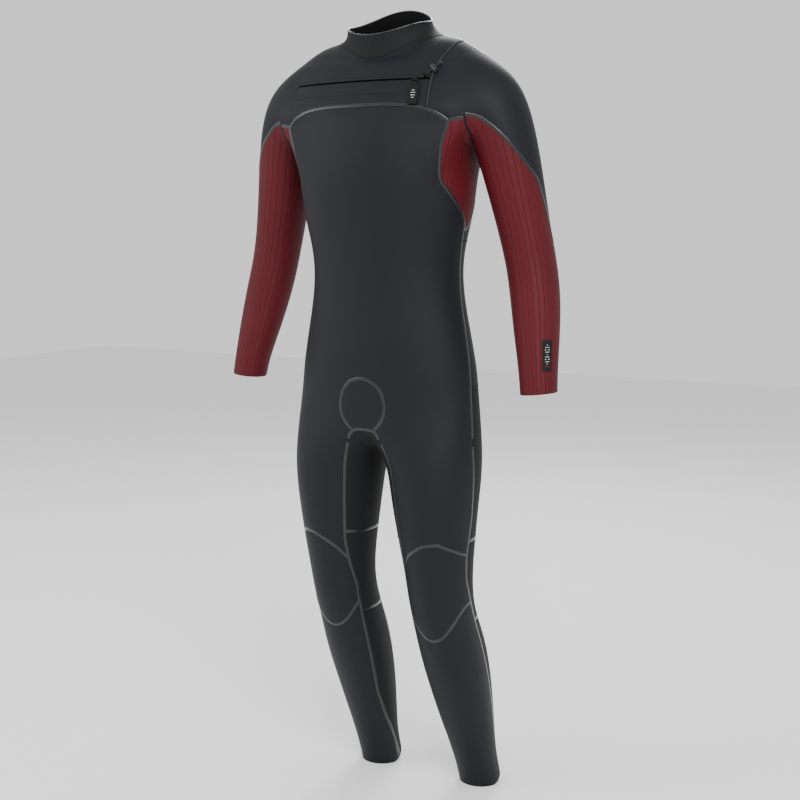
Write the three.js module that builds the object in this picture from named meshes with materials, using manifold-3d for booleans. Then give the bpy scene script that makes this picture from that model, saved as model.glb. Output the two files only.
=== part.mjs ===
// Full-length chest-zip wetsuit, shaped as on a standing wearer. Millimetres, +Z up.
// +X is the wearer's left and -Y the chest side. The tables below give heights above
// the ankle hems; the whole suit is lowered so that its origin is the middle of the neck seam.
import * as THREE from 'three';
import { mergeVertices } from 'three/addons/utils/BufferGeometryUtils.js';
import Module from 'manifold-3d';

const wasm = await Module();
wasm.setup();

// ---------------------------------------------------------------- driving dimensions
const NECK_HEIGHT = 1400; // neck seam above the ankle hems
const NECK_BACKSET = 16; // neck seam's middle behind the side line
const BODY_THICKNESS = 4; // neoprene of the body and legs
const SLEEVE_THICKNESS = 3; // neoprene of the sleeves and collar
const SEAM_GAP = 0.3; // between neighbouring panels

// Rings of the torso from the crotch up:
// height in front, at the side, behind; half width; depth in front, behind; middle's y
const TORSO = [
  [720, 785, 735, 182, 98, 108, 5],
  [795, 830, 810, 178, 102, 110, 5],
  [870, 890, 880, 166, 104, 100, 5],
  [945, 955, 950, 152, 103, 92, 5],
  [1010, 1015, 1015, 147, 107, 92, 5],
  [1075, 1070, 1085, 158, 118, 104, 5],
  [1135, 1120, 1150, 172, 130, 116, 5],
  [1195, 1185, 1215, 182, 136, 122, 5],
  [1255, 1275, 1285, 190, 128, 124, 8],
  [1322, 1378, 1360, 184, 106, 114, 14],
  [1358, 1408, 1408, 140, 84, 92, 18],
  [1364, 1412, 1430, 98, 76, 76, 18],
  [1386, 1424, 1450, 83, 70, 66, 14],
  [1410, 1436, 1470, 80, 70, 63, 10],
];
const TORSO_COLUMNS = 16; // column 0 is the front centre line, 4 the wearer's left side
const ARMHOLE = { bottomRow: 6, topRow: 9, frontColumn: 2, backColumn: 6 };

// Rings of a leg, downwards: height, middle x, y; half width; depth in front, behind; tilt
const LEG = [
  [665, 101, 2, 92, 94, 92, 0],
  [590, 102, 0, 83, 88, 86, 0],
  [510, 104, 4, 72, 77, 76, 0],
  [450, 105, 10, 64, 68, 68, 3],
  [395, 105, 20, 61, 64, 66, 8],
  [345, 105, 36, 60, 58, 76, 16],
  [280, 107, 60, 62, 54, 92, 20],
  [200, 108, 94, 59, 48, 84, 20],
  [110, 110, 130, 49, 42, 62, 20],
  [50, 112, 153, 42, 39, 50, 20],
  [0, 113, 172, 42, 39, 50, 20],
];
const LEG_COLUMNS = [-38, -8, 22, 54, 90, 126, 158, 188, 218, 245, 270, 295]; // degrees from the front
const CROTCH = [[-50, 706], [5, 692], [62, 706]]; // y and height of the fork, front to back

// Rings of an arm, downwards: middle x, y, height; half width, half depth; tilt outwards
const ARM = [
  [208, 12, 1290, 64, 68, 45],
  [228, 20, 1215, 55, 61, 20],
  [243, 28, 1140, 50, 54, 12],
  [257, 34, 1070, 46, 49, 11],
  [269, 36, 1015, 45, 46, 10],
  [279, 30, 965, 45, 46, 8],
  [288, 18, 910, 42, 43, 7],
  [296, 6, 860, 37, 38, 7],
  [301, -2, 825, 34, 35, 6],
  [304, -6, 797, 33, 34, 6],
];
const ARM_COLUMNS = [-52, -26, 0, 26, 52, 76, 104, 128, 154, 180, 206, 232, 256, 284]; // from outwards

// The zip runs across the chest on a cone, so that its slider turns about one upright axis.
const ZIP_RADIUS = 450;
const ZIP_FRONT = -83; // the skin's middle at the zip
const ZIP = { height: 1331, radius: ZIP_RADIUS, axisY: ZIP_FRONT + ZIP_RADIUS, slope: 0.46 };
const ZIP_TILT = Math.atan(ZIP.slope);
const CHANNEL = 1.6; // half width of the slot between yoke and flap
const ZIP_ENDS = [-19.0, 14.4]; // degrees about the axis, wearer's right and left
const SLIDER_PARK = 12.5; // closed, at the wearer's left
const ROW_START = 0.9; // inner edge of a tooth row from the centre line

// ---------------------------------------------------------------- small helpers
const rad = THREE.MathUtils.degToRad;
const deg = THREE.MathUtils.radToDeg;
const vec = (x, y, z) => new THREE.Vector3(x, y, z);

// Straight-line reading of a table of [key, value] pairs with rising keys.
function read(table, key) {
  if (key <= table[0][0]) return table[0][1];
  for (let i = 1; i < table.length; i++) {
    const [k0, v0] = table[i - 1];
    const [k1, v1] = table[i];
    if (key <= k1) return v0 + (v1 - v0) * (key - k0) / (k1 - k0);
  }
  return table[table.length - 1][1];
}

// ---------------------------------------------------------------- cage of the suit's outside
// Returns points and four-cornered faces; ringEdges are the edges that run round a limb.
function buildCage() {
  const points = [];
  const faces = [];
  const ringEdges = new Set();
  const add = (x, y, z) => points.push(vec(x, y, z)) - 1;
  const grid = TORSO.map(([zf, zs, zb, a, bf, bb, yc], row) => {
    const ids = [];
    for (let j = 0; j < TORSO_COLUMNS; j++) {
      const c = Math.cos(2 * Math.PI * j / TORSO_COLUMNS);
      const s = Math.sin(2 * Math.PI * j / TORSO_COLUMNS);
      const side = Math.min(j, TORSO_COLUMNS - j);
      const inArmhole = row > ARMHOLE.bottomRow && row < ARMHOLE.topRow
        && side > ARMHOLE.frontColumn && side < ARMHOLE.backColumn;
      const z = zs + ((c > 0 ? zf : zb) - zs) * c * c;
      ids.push(inArmhole ? -1 : add(a * s, yc - (c > 0 ? bf : bb) * c, z));
    }
    return ids;
  });
  for (let row = 0; row + 1 < TORSO.length; row++) {
    for (let j = 0; j < TORSO_COLUMNS; j++) {
      const next = (j + 1) % TORSO_COLUMNS;
      const side = Math.min(j, TORSO_COLUMNS - 1 - j);
      const open = row >= ARMHOLE.bottomRow && row < ARMHOLE.topRow
        && side >= ARMHOLE.frontColumn && side < ARMHOLE.backColumn;
      if (!open) faces.push([grid[row][j], grid[row][next], grid[row + 1][next], grid[row + 1][j]]);
    }
  }
  const fork = CROTCH.map(([y, z]) => add(0, y, z));
  for (const side of [1, -1]) {
    const column = (row, j) => grid[row][(side * j + TORSO_COLUMNS) % TORSO_COLUMNS];
    addLimb(legTop(column, fork), LEG.map((ring) => legRing(ring, side)), side > 0);
    addLimb(armTop(column), ARM.map((ring) => armRing(ring, side)), side > 0);
  }
  return { points, faces, ringEdges };

  function legTop(column, forkIds) {
    const ids = [];
    for (let j = 0; j <= TORSO_COLUMNS / 2; j++) ids.push(column(0, j));
    return [...ids, forkIds[2], forkIds[1], forkIds[0]];
  }
  function armTop(column) {
    const { bottomRow, topRow, frontColumn, backColumn } = ARMHOLE;
    const ids = [];
    for (let j = frontColumn; j <= backColumn; j++) ids.push(column(topRow, j));
    for (let row = topRow - 1; row > bottomRow; row--) ids.push(column(row, backColumn));
    for (let j = backColumn; j >= frontColumn; j--) ids.push(column(bottomRow, j));
    for (let row = bottomRow + 1; row < topRow; row++) ids.push(column(row, frontColumn));
    return ids;
  }
  function legRing([z, cx, cy, w, front, back, tilt], side) {
    return LEG_COLUMNS.map((angle) => {
      const c = Math.cos(rad(angle));
      const depth = -(c > 0 ? front : back) * c;
      const x = side * (cx + w * Math.sin(rad(angle)));
      return add(x, cy + depth * Math.cos(rad(tilt)), z + depth * Math.sin(rad(tilt)));
    });
  }
  function armRing([cx, cy, z, w, d, tilt], side) {
    return ARM_COLUMNS.map((angle) => {
      const out = w * Math.cos(rad(angle));
      const x = side * (cx + out * Math.cos(rad(tilt)));
      return add(x, cy + d * Math.sin(rad(angle)), z + out * Math.sin(rad(tilt)));
    });
  }
  function addLimb(top, rings, keepOrder) {
    let upper = top;
    for (const ring of rings) {
      ring.forEach((id, i) => {
        const j = (i + 1) % ring.length;
        const face = [id, ring[j], upper[j], upper[i]];
        faces.push(keepOrder ? face : face.reverse());
        ringEdges.add(edgeKey(id, ring[j]));
      });
      upper = ring;
    }
  }
}

function edgeKey(a, b) {
  return a < b ? `${a}_${b}` : `${b}_${a}`;
}

// One Catmull-Clark step. Edges in `whole` are not halved, which keeps the limbs light.
function refine({ points, faces, whole }) {
  const mean = (list) => list.reduce((sum, p) => sum.add(p), vec(0, 0, 0)).divideScalar(list.length);
  const facePoints = faces.map((face) => mean(face.map((i) => points[i])));
  const edges = new Map();
  const around = points.map(() => ({ faces: [], edges: [] }));
  faces.forEach((face, f) => {
    face.forEach((a, i) => {
      const b = face[(i + 1) % 4];
      const key = edgeKey(a, b);
      if (!edges.has(key)) {
        edges.set(key, { a, b, faces: [] });
        around[a].edges.push(key);
        around[b].edges.push(key);
      }
      edges.get(key).faces.push(f);
      around[a].faces.push(f);
    });
  });
  for (const edge of edges.values()) edge.middle = mean([points[edge.a], points[edge.b]]);
  const moved = points.map((p, i) => {
    const rim = around[i].edges.map((k) => edges.get(k)).filter((e) => e.faces.length === 1);
    if (rim.length) return p.clone().multiplyScalar(0.5).addScaledVector(mean(rim.map((e) => e.middle)), 0.5);
    const n = around[i].edges.length;
    const ring = mean(around[i].edges.map((k) => edges.get(k).middle));
    const sum = mean(around[i].faces.map((f) => facePoints[f])).addScaledVector(ring, 2);
    return sum.addScaledVector(p, n - 3).divideScalar(n);
  });
  for (const [key, edge] of edges) {
    if (whole.has(key)) continue;
    const inner = edge.faces.length === 2;
    const point = inner
      ? edge.middle.clone().multiplyScalar(2).add(facePoints[edge.faces[0]]).add(facePoints[edge.faces[1]])
        .divideScalar(4)
      : edge.middle;
    edge.id = moved.push(point) - 1;
  }
  const triangles = [];
  faces.forEach((face, f) => {
    const loop = [];
    const halved = face.map((a, i) => {
      const edge = edges.get(edgeKey(a, face[(i + 1) % 4]));
      loop.push(a);
      if (edge.id !== undefined) loop.push(edge.id);
      return edge.id;
    });
    const count = halved.filter((id) => id !== undefined).length;
    if (count === 2 && halved[0] !== undefined && halved[2] !== undefined) {
      addQuad(triangles, moved, [face[0], halved[0], halved[2], face[3]]);
      addQuad(triangles, moved, [halved[0], face[1], face[2], halved[2]]);
    } else if (count === 2 && halved[1] !== undefined && halved[3] !== undefined) {
      addQuad(triangles, moved, [face[0], face[1], halved[1], halved[3]]);
      addQuad(triangles, moved, [halved[3], halved[1], face[2], face[3]]);
    } else if (count === 4) {
      const centre = moved.push(facePoints[f]) - 1;
      face.forEach((a, i) => addQuad(triangles, moved, [a, halved[i], centre, halved[(i + 3) % 4]]));
    } else {
      const centre = moved.push(facePoints[f]) - 1;
      loop.forEach((a, i) => triangles.push([a, loop[(i + 1) % loop.length], centre]));
    }
  });
  return { points: moved, triangles };
}

// Two triangles across the shorter diagonal.
function addQuad(triangles, points, [a, b, c, d]) {
  if (points[a].distanceTo(points[c]) <= points[b].distanceTo(points[d])) {
    triangles.push([a, b, c], [a, c, d]);
  } else {
    triangles.push([a, b, d], [b, c, d]);
  }
}

// ---------------------------------------------------------------- the zip's cone
const coneRadius = (z) => ZIP.radius + ZIP.slope * (ZIP.height - z);
const coneY = (x, z) => ZIP.axisY - Math.sqrt(coneRadius(z) ** 2 - x * x);

// Lays the chest onto the cone near the zip and fades out round it.
function layOnCone(p) {
  if (p.y > 0) return;
  const upDown = read([[1262, 0], [1287, 1], [1357, 1], [1373, 0]], p.z);
  const across = read([[152, 1], [182, 0]], Math.abs(p.x));
  p.y += (coneY(p.x, p.z) - p.y) * upDown * across;
}

// Frame on the cone: u along the zip to the wearer's left, v up the slope, w outwards.
function zipFrame(angle) {
  const out = vec(Math.sin(rad(angle)), -Math.cos(rad(angle)), 0);
  const u = vec(Math.cos(rad(angle)), Math.sin(rad(angle)), 0);
  const w = out.clone().multiplyScalar(Math.cos(ZIP_TILT)).add(vec(0, 0, Math.sin(ZIP_TILT)));
  const v = out.clone().multiplyScalar(-Math.sin(ZIP_TILT)).add(vec(0, 0, Math.cos(ZIP_TILT)));
  const origin = out.clone().multiplyScalar(ZIP.radius).add(vec(0, ZIP.axisY, ZIP.height));
  return { u, v, w, origin };
}

// ---------------------------------------------------------------- skin: outer and inner points
const cage = buildCage();
const armAndLegRings = cage.ringEdges;
const skin = refine({ points: cage.points, faces: cage.faces, whole: armAndLegRings });
const outer = skin.points;
outer.forEach(layOnCone);

function rimLoops(triangles) {
  const next = new Map();
  const directed = new Set(triangles.flatMap(([a, b, c]) => [`${a}_${b}`, `${b}_${c}`, `${c}_${a}`]));
  for (const [a, b, c] of triangles) {
    for (const [p, q] of [[a, b], [b, c], [c, a]]) {
      if (!directed.has(`${q}_${p}`)) next.set(p, q);
    }
  }
  return next;
}

function vertexNormals(triangles) {
  const normals = outer.map(() => vec(0, 0, 0));
  for (const [a, b, c] of triangles) {
    const n = outer[b].clone().sub(outer[a]).cross(outer[c].clone().sub(outer[a]));
    for (const i of [a, b, c]) normals[i].add(n);
  }
  return normals.map((n) => n.normalize());
}

// Wrist and ankle hems are flat, so their inner edge stays in the hem's plane.
function flattenHems(normals, hem) {
  const left = new Set(hem.keys());
  while (left.size) {
    const loop = [];
    for (let i = left.values().next().value; left.has(i); i = hem.get(i)) {
      left.delete(i);
      loop.push(i);
    }
    if (outer[loop[0]].z > NECK_HEIGHT) continue;
    const axis = vec(0, 0, 0);
    loop.forEach((i, k) => axis.add(outer[i].clone().cross(outer[loop[(k + 1) % loop.length]])));
    axis.normalize();
    for (const i of loop) normals[i].addScaledVector(axis, -normals[i].dot(axis)).normalize();
  }
}

function thickness(p) {
  const sleeve = read([[175, 0], [215, 1]], Math.abs(p.x));
  const neck = read([[1366, 0], [1385, 1]], p.z) * read([[105, 1], [125, 0]], Math.abs(p.x));
  return BODY_THICKNESS - (BODY_THICKNESS - SLEEVE_THICKNESS) * Math.max(sleeve, neck);
}

const hemNext = rimLoops(skin.triangles);
const outerNormals = vertexNormals(skin.triangles);
flattenHems(outerNormals, hemNext);
const inner = outer.map((p, i) => p.clone().addScaledVector(outerNormals[i], -thickness(p)));
const hemPoints = new Set(hemNext.keys());

// ---------------------------------------------------------------- cutting the skin into panels
const SLIDE = 0.3; // a point this near a cut, as a share of its edge, moves onto it
const RIM_SNAP = 1.5; // a rim point this near a cut counts as on it

// Divides a patch of skin where field(point) changes sign: [positive side, negative side].
// Two neighbouring patches that are cut with the same `cuts` share the points of that cut.
function split(patch, field, cuts = new Map()) {
  const level = new Map();
  for (const triangle of patch) {
    for (const i of triangle) if (!level.has(i)) level.set(i, field(outer[i]));
  }
  const rim = rimLoops(patch);
  for (const i of rim.keys()) if (Math.abs(level.get(i)) < RIM_SNAP) level.set(i, 0);
  slideOntoCut(patch, level, rim);
  const cutPoint = (a, b) => {
    const key = edgeKey(a, b);
    if (!cuts.has(key)) {
      const share = level.get(a) / (level.get(a) - level.get(b));
      inner.push(inner[a].clone().lerp(inner[b], share));
      cuts.set(key, outer.push(outer[a].clone().lerp(outer[b], share)) - 1);
      if (hemPoints.has(a) && hemPoints.has(b)) hemPoints.add(cuts.get(key));
    }
    return cuts.get(key);
  };
  const sides = [[], []];
  for (const triangle of patch) {
    const levels = triangle.map((i) => level.get(i));
    if (levels.every((l) => l === 0)) {
      const [a, b, c] = triangle.map((i) => outer[i]);
      const middle = a.clone().add(b).add(c).divideScalar(3);
      sides[field(middle) >= 0 ? 0 : 1].push(triangle);
      continue;
    }
    [1, -1].forEach((sign, side) => {
      const polygon = [];
      triangle.forEach((i, k) => {
        const j = triangle[(k + 1) % 3];
        if (sign * level.get(i) >= 0) polygon.push(i);
        if (level.get(i) * level.get(j) < 0) polygon.push(cutPoint(i, j));
      });
      if (polygon.length === 3 && polygon.some((i) => !level.has(i) || level.get(i) !== 0)) {
        sides[side].push(polygon);
      }
      if (polygon.length === 4) addQuad(sides[side], outer, polygon);
    });
  }
  return sides;
}

function slideOntoCut(patch, level, rim) {
  const moves = new Map();
  const offer = (i, j, share) => {
    if (share >= SLIDE || rim.has(i) || (moves.has(i) && moves.get(i).share <= share)) return;
    const to = outer[i].clone().lerp(outer[j], share);
    moves.set(i, { share, to, toInner: inner[i].clone().lerp(inner[j], share) });
  };
  for (const triangle of patch) {
    triangle.forEach((i, k) => {
      const j = triangle[(k + 1) % 3];
      if (level.get(i) * level.get(j) >= 0) return;
      const share = level.get(i) / (level.get(i) - level.get(j));
      offer(i, j, share);
      offer(j, i, 1 - share);
    });
  }
  for (const [i, { to, toInner }] of moves) {
    outer[i].copy(to);
    inner[i].copy(toInner);
    level.set(i, 0);
  }
}

const leftOf = (patch) => split(patch, (p) => p.x);

// Closed panel: the outer skin, the inner skin and walls, drawn back from its neighbours.
function panelGeometry(patch) {
  const next = rimLoops(patch);
  const previous = new Map([...next].map(([a, b]) => [b, a]));
  const ids = new Map();
  const positions = [];
  const vertex = (i, list, layer) => {
    const key = `${layer}${i}`;
    if (!ids.has(key)) {
      const p = list[i].clone();
      if (next.has(i)) p.add(drawBack(i));
      ids.set(key, positions.push(p.x, p.y, p.z) / 3 - 1);
    }
    return ids.get(key);
  };
  const inward = (a, b) => {
    if (hemPoints.has(a) && hemPoints.has(b)) return null;
    const along = outer[b].clone().sub(outer[a]);
    const across = outer[a].clone().sub(inner[a]).add(outer[b]).sub(inner[b]);
    return across.cross(along).normalize();
  };
  const drawBack = (i) => {
    const before = inward(previous.get(i), i);
    const after = inward(i, next.get(i));
    const half = SEAM_GAP / 2;
    if (!before && !after) return vec(0, 0, 0);
    if (before && after) {
      const sum = before.clone().add(after);
      return sum.multiplyScalar(half / Math.max(0.35, sum.lengthSq() / 2));
    }
    // At a hem the panel draws back along the hem's own edge.
    const free = before ? outer[next.get(i)].clone().sub(outer[i]) : outer[previous.get(i)].clone().sub(outer[i]);
    return free.normalize().multiplyScalar(half / Math.max(0.35, free.dot(before ?? after)));
  };
  const index = [];
  for (const [a, b, c] of patch) {
    index.push(vertex(a, outer, 'o'), vertex(b, outer, 'o'), vertex(c, outer, 'o'));
    index.push(vertex(a, inner, 'i'), vertex(c, inner, 'i'), vertex(b, inner, 'i'));
  }
  for (const [a, b] of next) {
    const [ao, bo] = [vertex(a, outer, 'o'), vertex(b, outer, 'o')];
    const [ai, bi] = [vertex(a, inner, 'i'), vertex(b, inner, 'i')];
    // Both panels at a seam fold their walls along the same diagonal.
    if (outer[b].distanceTo(inner[a]) < outer[a].distanceTo(inner[b])) {
      index.push(bo, ao, ai, bo, ai, bi);
    } else {
      index.push(ao, ai, bi, ao, bi, bo);
    }
  }
  const geometry = new THREE.BufferGeometry();
  geometry.setAttribute('position', new THREE.Float32BufferAttribute(positions, 3));
  geometry.setIndex(index);
  return geometry;
}

// ---------------------------------------------------------------- seam lines
// Angles are in degrees, from the front for torso and legs and from outwards for arms;
// lengths in millimetres. A field is roughly the distance from its seam.
const NECK_SEAM = { front: 1372, side: 1408, back: 1432, reach: 95 };
const ARM_CUT = 186; // distance of the armhole plane from the middle
const ELBOW_BAND = [1040, 930]; // soft part of the sleeve, top and bottom
const CAP_FRONT = [[1040, 38], [1050, 22], [1118, 0], [1160, -12], [1180, -30], [1201, -46],
  [1225, -62], [1245, -78], [1265, -97], [1290, -180]];
const CAP_BACK = [[1040, 6], [1050, 22], [1085, 52], [1118, 74], [1160, 85], [1265, 100], [1290, 180]];
const SIDE_TOP = 1262;
const SIDE_FRONT = [[1060, 94], [1080, 88], [1106, 82], [1127, 75], [1147, 68], [1160, 63], [1218, 61],
  [1257, 64]];
const SIDE_BACK = [[1060, 86], [1080, 92], [1127, 106], [1160, 115], [1218, 122]];
const SIDE_SEAM_Y = [[0, 190], [110, 150], [205, 115], [317, 67], [405, 21], [448, 0], [496, -8], [561, -5],
  [690, -14], [778, -10], [900, -1], [1023, 3], [1090, -4], [1262, 5], [1380, 20]];
const INNER_LEG_FRONT = [[0, -105], [49, -90], [114, -66], [178, -56], [271, -59], [413, -56], [465, -44],
  [505, -38], [660, -36], [719, -40]];
const INNER_LEG_BACK = -135;
const FORK_TOP = 722; // inner thigh panels end here in front
const KNEE_TOP = [[-60, 462], [-45, 470], [-30, 492], [-10, 507], [10, 518], [35, 521], [55, 508], [65, 496]];
const KNEE_LOW = { height: 328, rise: 0.022 };
const KNEE_BACK = [522, 362]; // back-of-knee panel, top and bottom
const CHEST_SEAM = [[0, 1288], [60, 1288], [97, 1285], [122, 1280], [147, 1269], [161, 1257], [186, 1235]];
const OPENING = [[1262, 128], [1327, 124], [1341, 125], [1359, 130], [1380, 137], [1402, 142]];
const FLAP_RIGHT_END = -150;
const GUSSET = { height: 765, halfWidth: 46, halfHeight: 50 };
const WAIST_SEAM = 1055;
const SEAT_SEAM = 800;

const centreOf = (rings, heightAt, xAt, yAt) => (z) => {
  const byHeight = [...rings].reverse();
  return {
    x: read(byHeight.map((ring) => [ring[heightAt], ring[xAt]]), z),
    y: read(byHeight.map((ring) => [ring[heightAt], ring[yAt]]), z),
  };
};
const legCentre = centreOf(LEG, 0, 1, 2);
const armCentre = centreOf(ARM, 2, 0, 1);

const torsoAngle = (p) => deg(Math.atan2(Math.abs(p.x), -(p.y - 5)));
const legAngle = (p) => deg(Math.atan2(Math.abs(p.x) - legCentre(p.z).x, legCentre(p.z).y - p.y));
const armAngle = (p) => deg(Math.atan2(p.y - armCentre(p.z).y, Math.abs(p.x) - armCentre(p.z).x));
const PER_DEGREE = { torso: 2.6, leg: 1.4, arm: 0.85 }; // millimetres of skin per degree

function neckField(p) {
  const reach = Math.hypot(p.x, p.y - 18);
  const c = (18 - p.y) / reach;
  const height = NECK_SEAM.side + ((c > 0 ? NECK_SEAM.front : NECK_SEAM.back) - NECK_SEAM.side) * c * c;
  return p.z - height - Math.max(0, reach - NECK_SEAM.reach) * 0.8;
}
const armField = (p) => Math.abs(p.x) - ARM_CUT;
const capField = (p) => PER_DEGREE.arm
  * Math.min(armAngle(p) - read(CAP_FRONT, p.z), read(CAP_BACK, p.z) - armAngle(p));
const sideField = (p) => Math.min(
  PER_DEGREE.torso * (torsoAngle(p) - read(SIDE_FRONT, p.z)),
  PER_DEGREE.torso * (read(SIDE_BACK, p.z) - torsoAngle(p)),
  SIDE_TOP - p.z,
  p.z - 1040,
);
const innerLegField = (p) => Math.min(
  PER_DEGREE.leg * (read(INNER_LEG_FRONT, p.z) - legAngle(p)),
  PER_DEGREE.leg * (legAngle(p) - INNER_LEG_BACK),
  FORK_TOP - p.z,
);
function backField(p) {
  const innerHalf = Math.abs(p.x) < legCentre(p.z).x && p.z < FORK_TOP;
  if (innerHalf) return PER_DEGREE.leg * (-90 - legAngle(p));
  return p.y - read(SIDE_SEAM_Y, p.z);
}
const gussetField = (p) => GUSSET.halfWidth
  * (1 - Math.hypot(p.x / GUSSET.halfWidth, (p.z - GUSSET.height) / GUSSET.halfHeight));
const legX = (p) => Math.abs(p.x) - legCentre(p.z).x;
const kneeTopField = (p) => read(KNEE_TOP, legX(p)) - p.z;
const kneeLowField = (p) => p.z - KNEE_LOW.height - KNEE_LOW.rise * legX(p) ** 2;
const chestField = (p) => p.z - read(CHEST_SEAM, Math.abs(p.x));
const openingField = (p) => p.x - read(OPENING, p.z);
const flapEndField = (p) => p.x - FLAP_RIGHT_END;
const above = (height) => (p) => p.z - height;
const below = (height) => (p) => height - p.z;

// ---------------------------------------------------------------- panels
const CHARCOAL = '#2d3035';
const DARK = '#1d1e21';
const MAROON = '#5c151d';
const BLACK = '#101012';

const suit = new THREE.Group();
suit.position.set(0, -NECK_BACKSET, -NECK_HEIGHT);

function addMesh(name, geometry, colour, roughness = 0.85, metalness = 0) {
  const mesh = new THREE.Mesh(geometry, new THREE.MeshStandardMaterial({ color: colour, roughness, metalness }));
  mesh.name = name;
  suit.add(mesh);
  return mesh;
}
const addPanel = (name, patch, colour) => addMesh(name, panelGeometry(patch), colour);

// Makes a left and a right panel from a patch that lies on both sides.
function addPair(name, patch, colour) {
  const [left, right] = leftOf(patch);
  addPanel(`left_${name}`, left, colour);
  addPanel(`right_${name}`, right, colour);
}

const [collar, belowCollar] = split(skin.triangles, neckField);
const [arms, trunk] = split(belowCollar, armField);
const [caps, sleeves] = split(arms, capField);
const [upperSleeves, lowerSleeves] = split(sleeves, above(ELBOW_BAND[0]));
const [elbows, forearms] = split(lowerSleeves, above(ELBOW_BAND[1]));
const [sides, trunkRest] = split(trunk, sideField);
const [innerLegs, shell] = split(trunkRest, innerLegField);
const [back, front] = split(shell, backField);
const [upperBack, belowWaist] = split(back, above(WAIST_SEAM));
const [lowerBack, legBacks] = split(belowWaist, above(SEAT_SEAM));
const kneeCuts = new Map();
const [innerThighs, innerShins] = split(innerLegs, above(KNEE_BACK[0]), kneeCuts);
const [thighBacks, outerShins] = split(legBacks, above(KNEE_BACK[0]), kneeCuts);
const [kneeBacks, calves] = split([...innerShins, ...outerShins], above(KNEE_BACK[1]));
const [gusset, frontRest] = split(front, gussetField);
const [lowerLegs, frontBody] = split(frontRest, kneeTopField);
const [kneePads, shins] = split(lowerLegs, kneeLowField);
const [chest, frontPanel] = split(frontBody, chestField);
const [leftShoulder, bib] = split(chest, openingField);
// The zip's slot ends square, so what lies beside it is cut along the same two lines and joined again.
const [zipPart, besideZip] = split(bib, flapEndField);
const lowerCuts = new Map();
const upperCuts = new Map();
const [flap, aboveFlap] = split(zipPart, below(ZIP.height - CHANNEL), lowerCuts);
const [, aboveZip] = split(aboveFlap, below(ZIP.height + CHANNEL), upperCuts);
const [besideFlap, besideRest] = split(besideZip, below(ZIP.height - CHANNEL), lowerCuts);
const besideParts = split(besideRest, below(ZIP.height + CHANNEL), upperCuts);
const yoke = [...aboveZip, ...besideFlap, ...besideParts.flat()];

addPanel('collar', collar, DARK);
addPanel('neck_yoke', yoke, CHARCOAL);
addPanel('zip_flap', flap, CHARCOAL);
addPanel('left_shoulder_panel', leftShoulder, CHARCOAL);
addPanel('front_body_panel', frontPanel, CHARCOAL);
addPanel('crotch_gusset', gusset, CHARCOAL);
addPanel('upper_back_panel', upperBack, CHARCOAL);
addPanel('lower_back_panel', lowerBack, CHARCOAL);
addPair('side_panel', sides, MAROON);
addPair('inner_thigh_panel', innerThighs, DARK);
addPair('thigh_back_panel', thighBacks, DARK);
addPair('knee_back_panel', kneeBacks, DARK);
addPair('calf_panel', calves, DARK);
addPair('knee_pad', kneePads, CHARCOAL);
addPair('shin_panel', shins, CHARCOAL);
addPair('arm_cap', caps, CHARCOAL);
addPair('upper_sleeve', upperSleeves, MAROON);
addPair('elbow_sleeve', elbows, MAROON);
addPair('forearm_sleeve', forearms, MAROON);

// ---------------------------------------------------------------- solids for the fittings
// Closed strip along the zip: a (v, w) profile carried round the cone from one angle to another.
function sweepOnCone(profileAt, start, end, steps) {
  const positions = [];
  const index = [];
  const count = profileAt(0).length;
  for (let i = 0; i <= steps; i++) {
    const { v, w, origin } = zipFrame(start + (end - start) * i / steps);
    for (const [a, b] of profileAt(i)) {
      const p = origin.clone().addScaledVector(v, a).addScaledVector(w, b);
      positions.push(p.x, p.y, p.z);
    }
  }
  for (let i = 0; i < steps; i++) {
    for (let k = 0; k < count; k++) {
      const a = i * count + k;
      const b = i * count + (k + 1) % count;
      index.push(a, b, b + count, a, b + count, a + count);
    }
  }
  const cap = THREE.ShapeUtils.triangulateShape(profileAt(0).map(([a, b]) => new THREE.Vector2(a, b)), []);
  for (const [a, b, c] of cap) index.push(a, c, b);
  const last = steps * count;
  for (const [a, b, c] of cap) index.push(last + a, last + b, last + c);
  const geometry = new THREE.BufferGeometry();
  geometry.setAttribute('position', new THREE.Float32BufferAttribute(positions, 3));
  geometry.setIndex(index);
  return geometry;
}

function toSolid(geometry, matrix = new THREE.Matrix4()) {
  const bare = geometry.clone().applyMatrix4(matrix);
  bare.deleteAttribute('normal');
  bare.deleteAttribute('uv');
  const merged = mergeVertices(bare, 1e-4);
  return new wasm.Manifold(new wasm.Mesh({
    numProp: 3,
    vertProperties: new Float32Array(merged.attributes.position.array),
    triVerts: new Uint32Array(merged.index.array),
  }));
}

function toGeometry(solid) {
  const mesh = solid.getMesh();
  const geometry = new THREE.BufferGeometry();
  geometry.setAttribute('position', new THREE.BufferAttribute(new Float32Array(mesh.vertProperties), 3));
  geometry.setIndex([...mesh.triVerts]);
  return geometry;
}

const shift = (x, y, z) => new THREE.Matrix4().makeTranslation(x, y, z);
const boxSolid = (sx, sy, sz, x, y, z) => toSolid(new THREE.BoxGeometry(sx, sy, sz), shift(x, y, z));

// Cylinder along one of the local axes: 'x', 'y' or 'z'.
function rodSolid(radius, length, axis, x, y, z, sides = 16) {
  const turn = new THREE.Matrix4();
  if (axis === 'x') turn.makeRotationZ(Math.PI / 2);
  if (axis === 'z') turn.makeRotationX(Math.PI / 2);
  return toSolid(new THREE.CylinderGeometry(radius, radius, length, sides), shift(x, y, z).multiply(turn));
}

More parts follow.
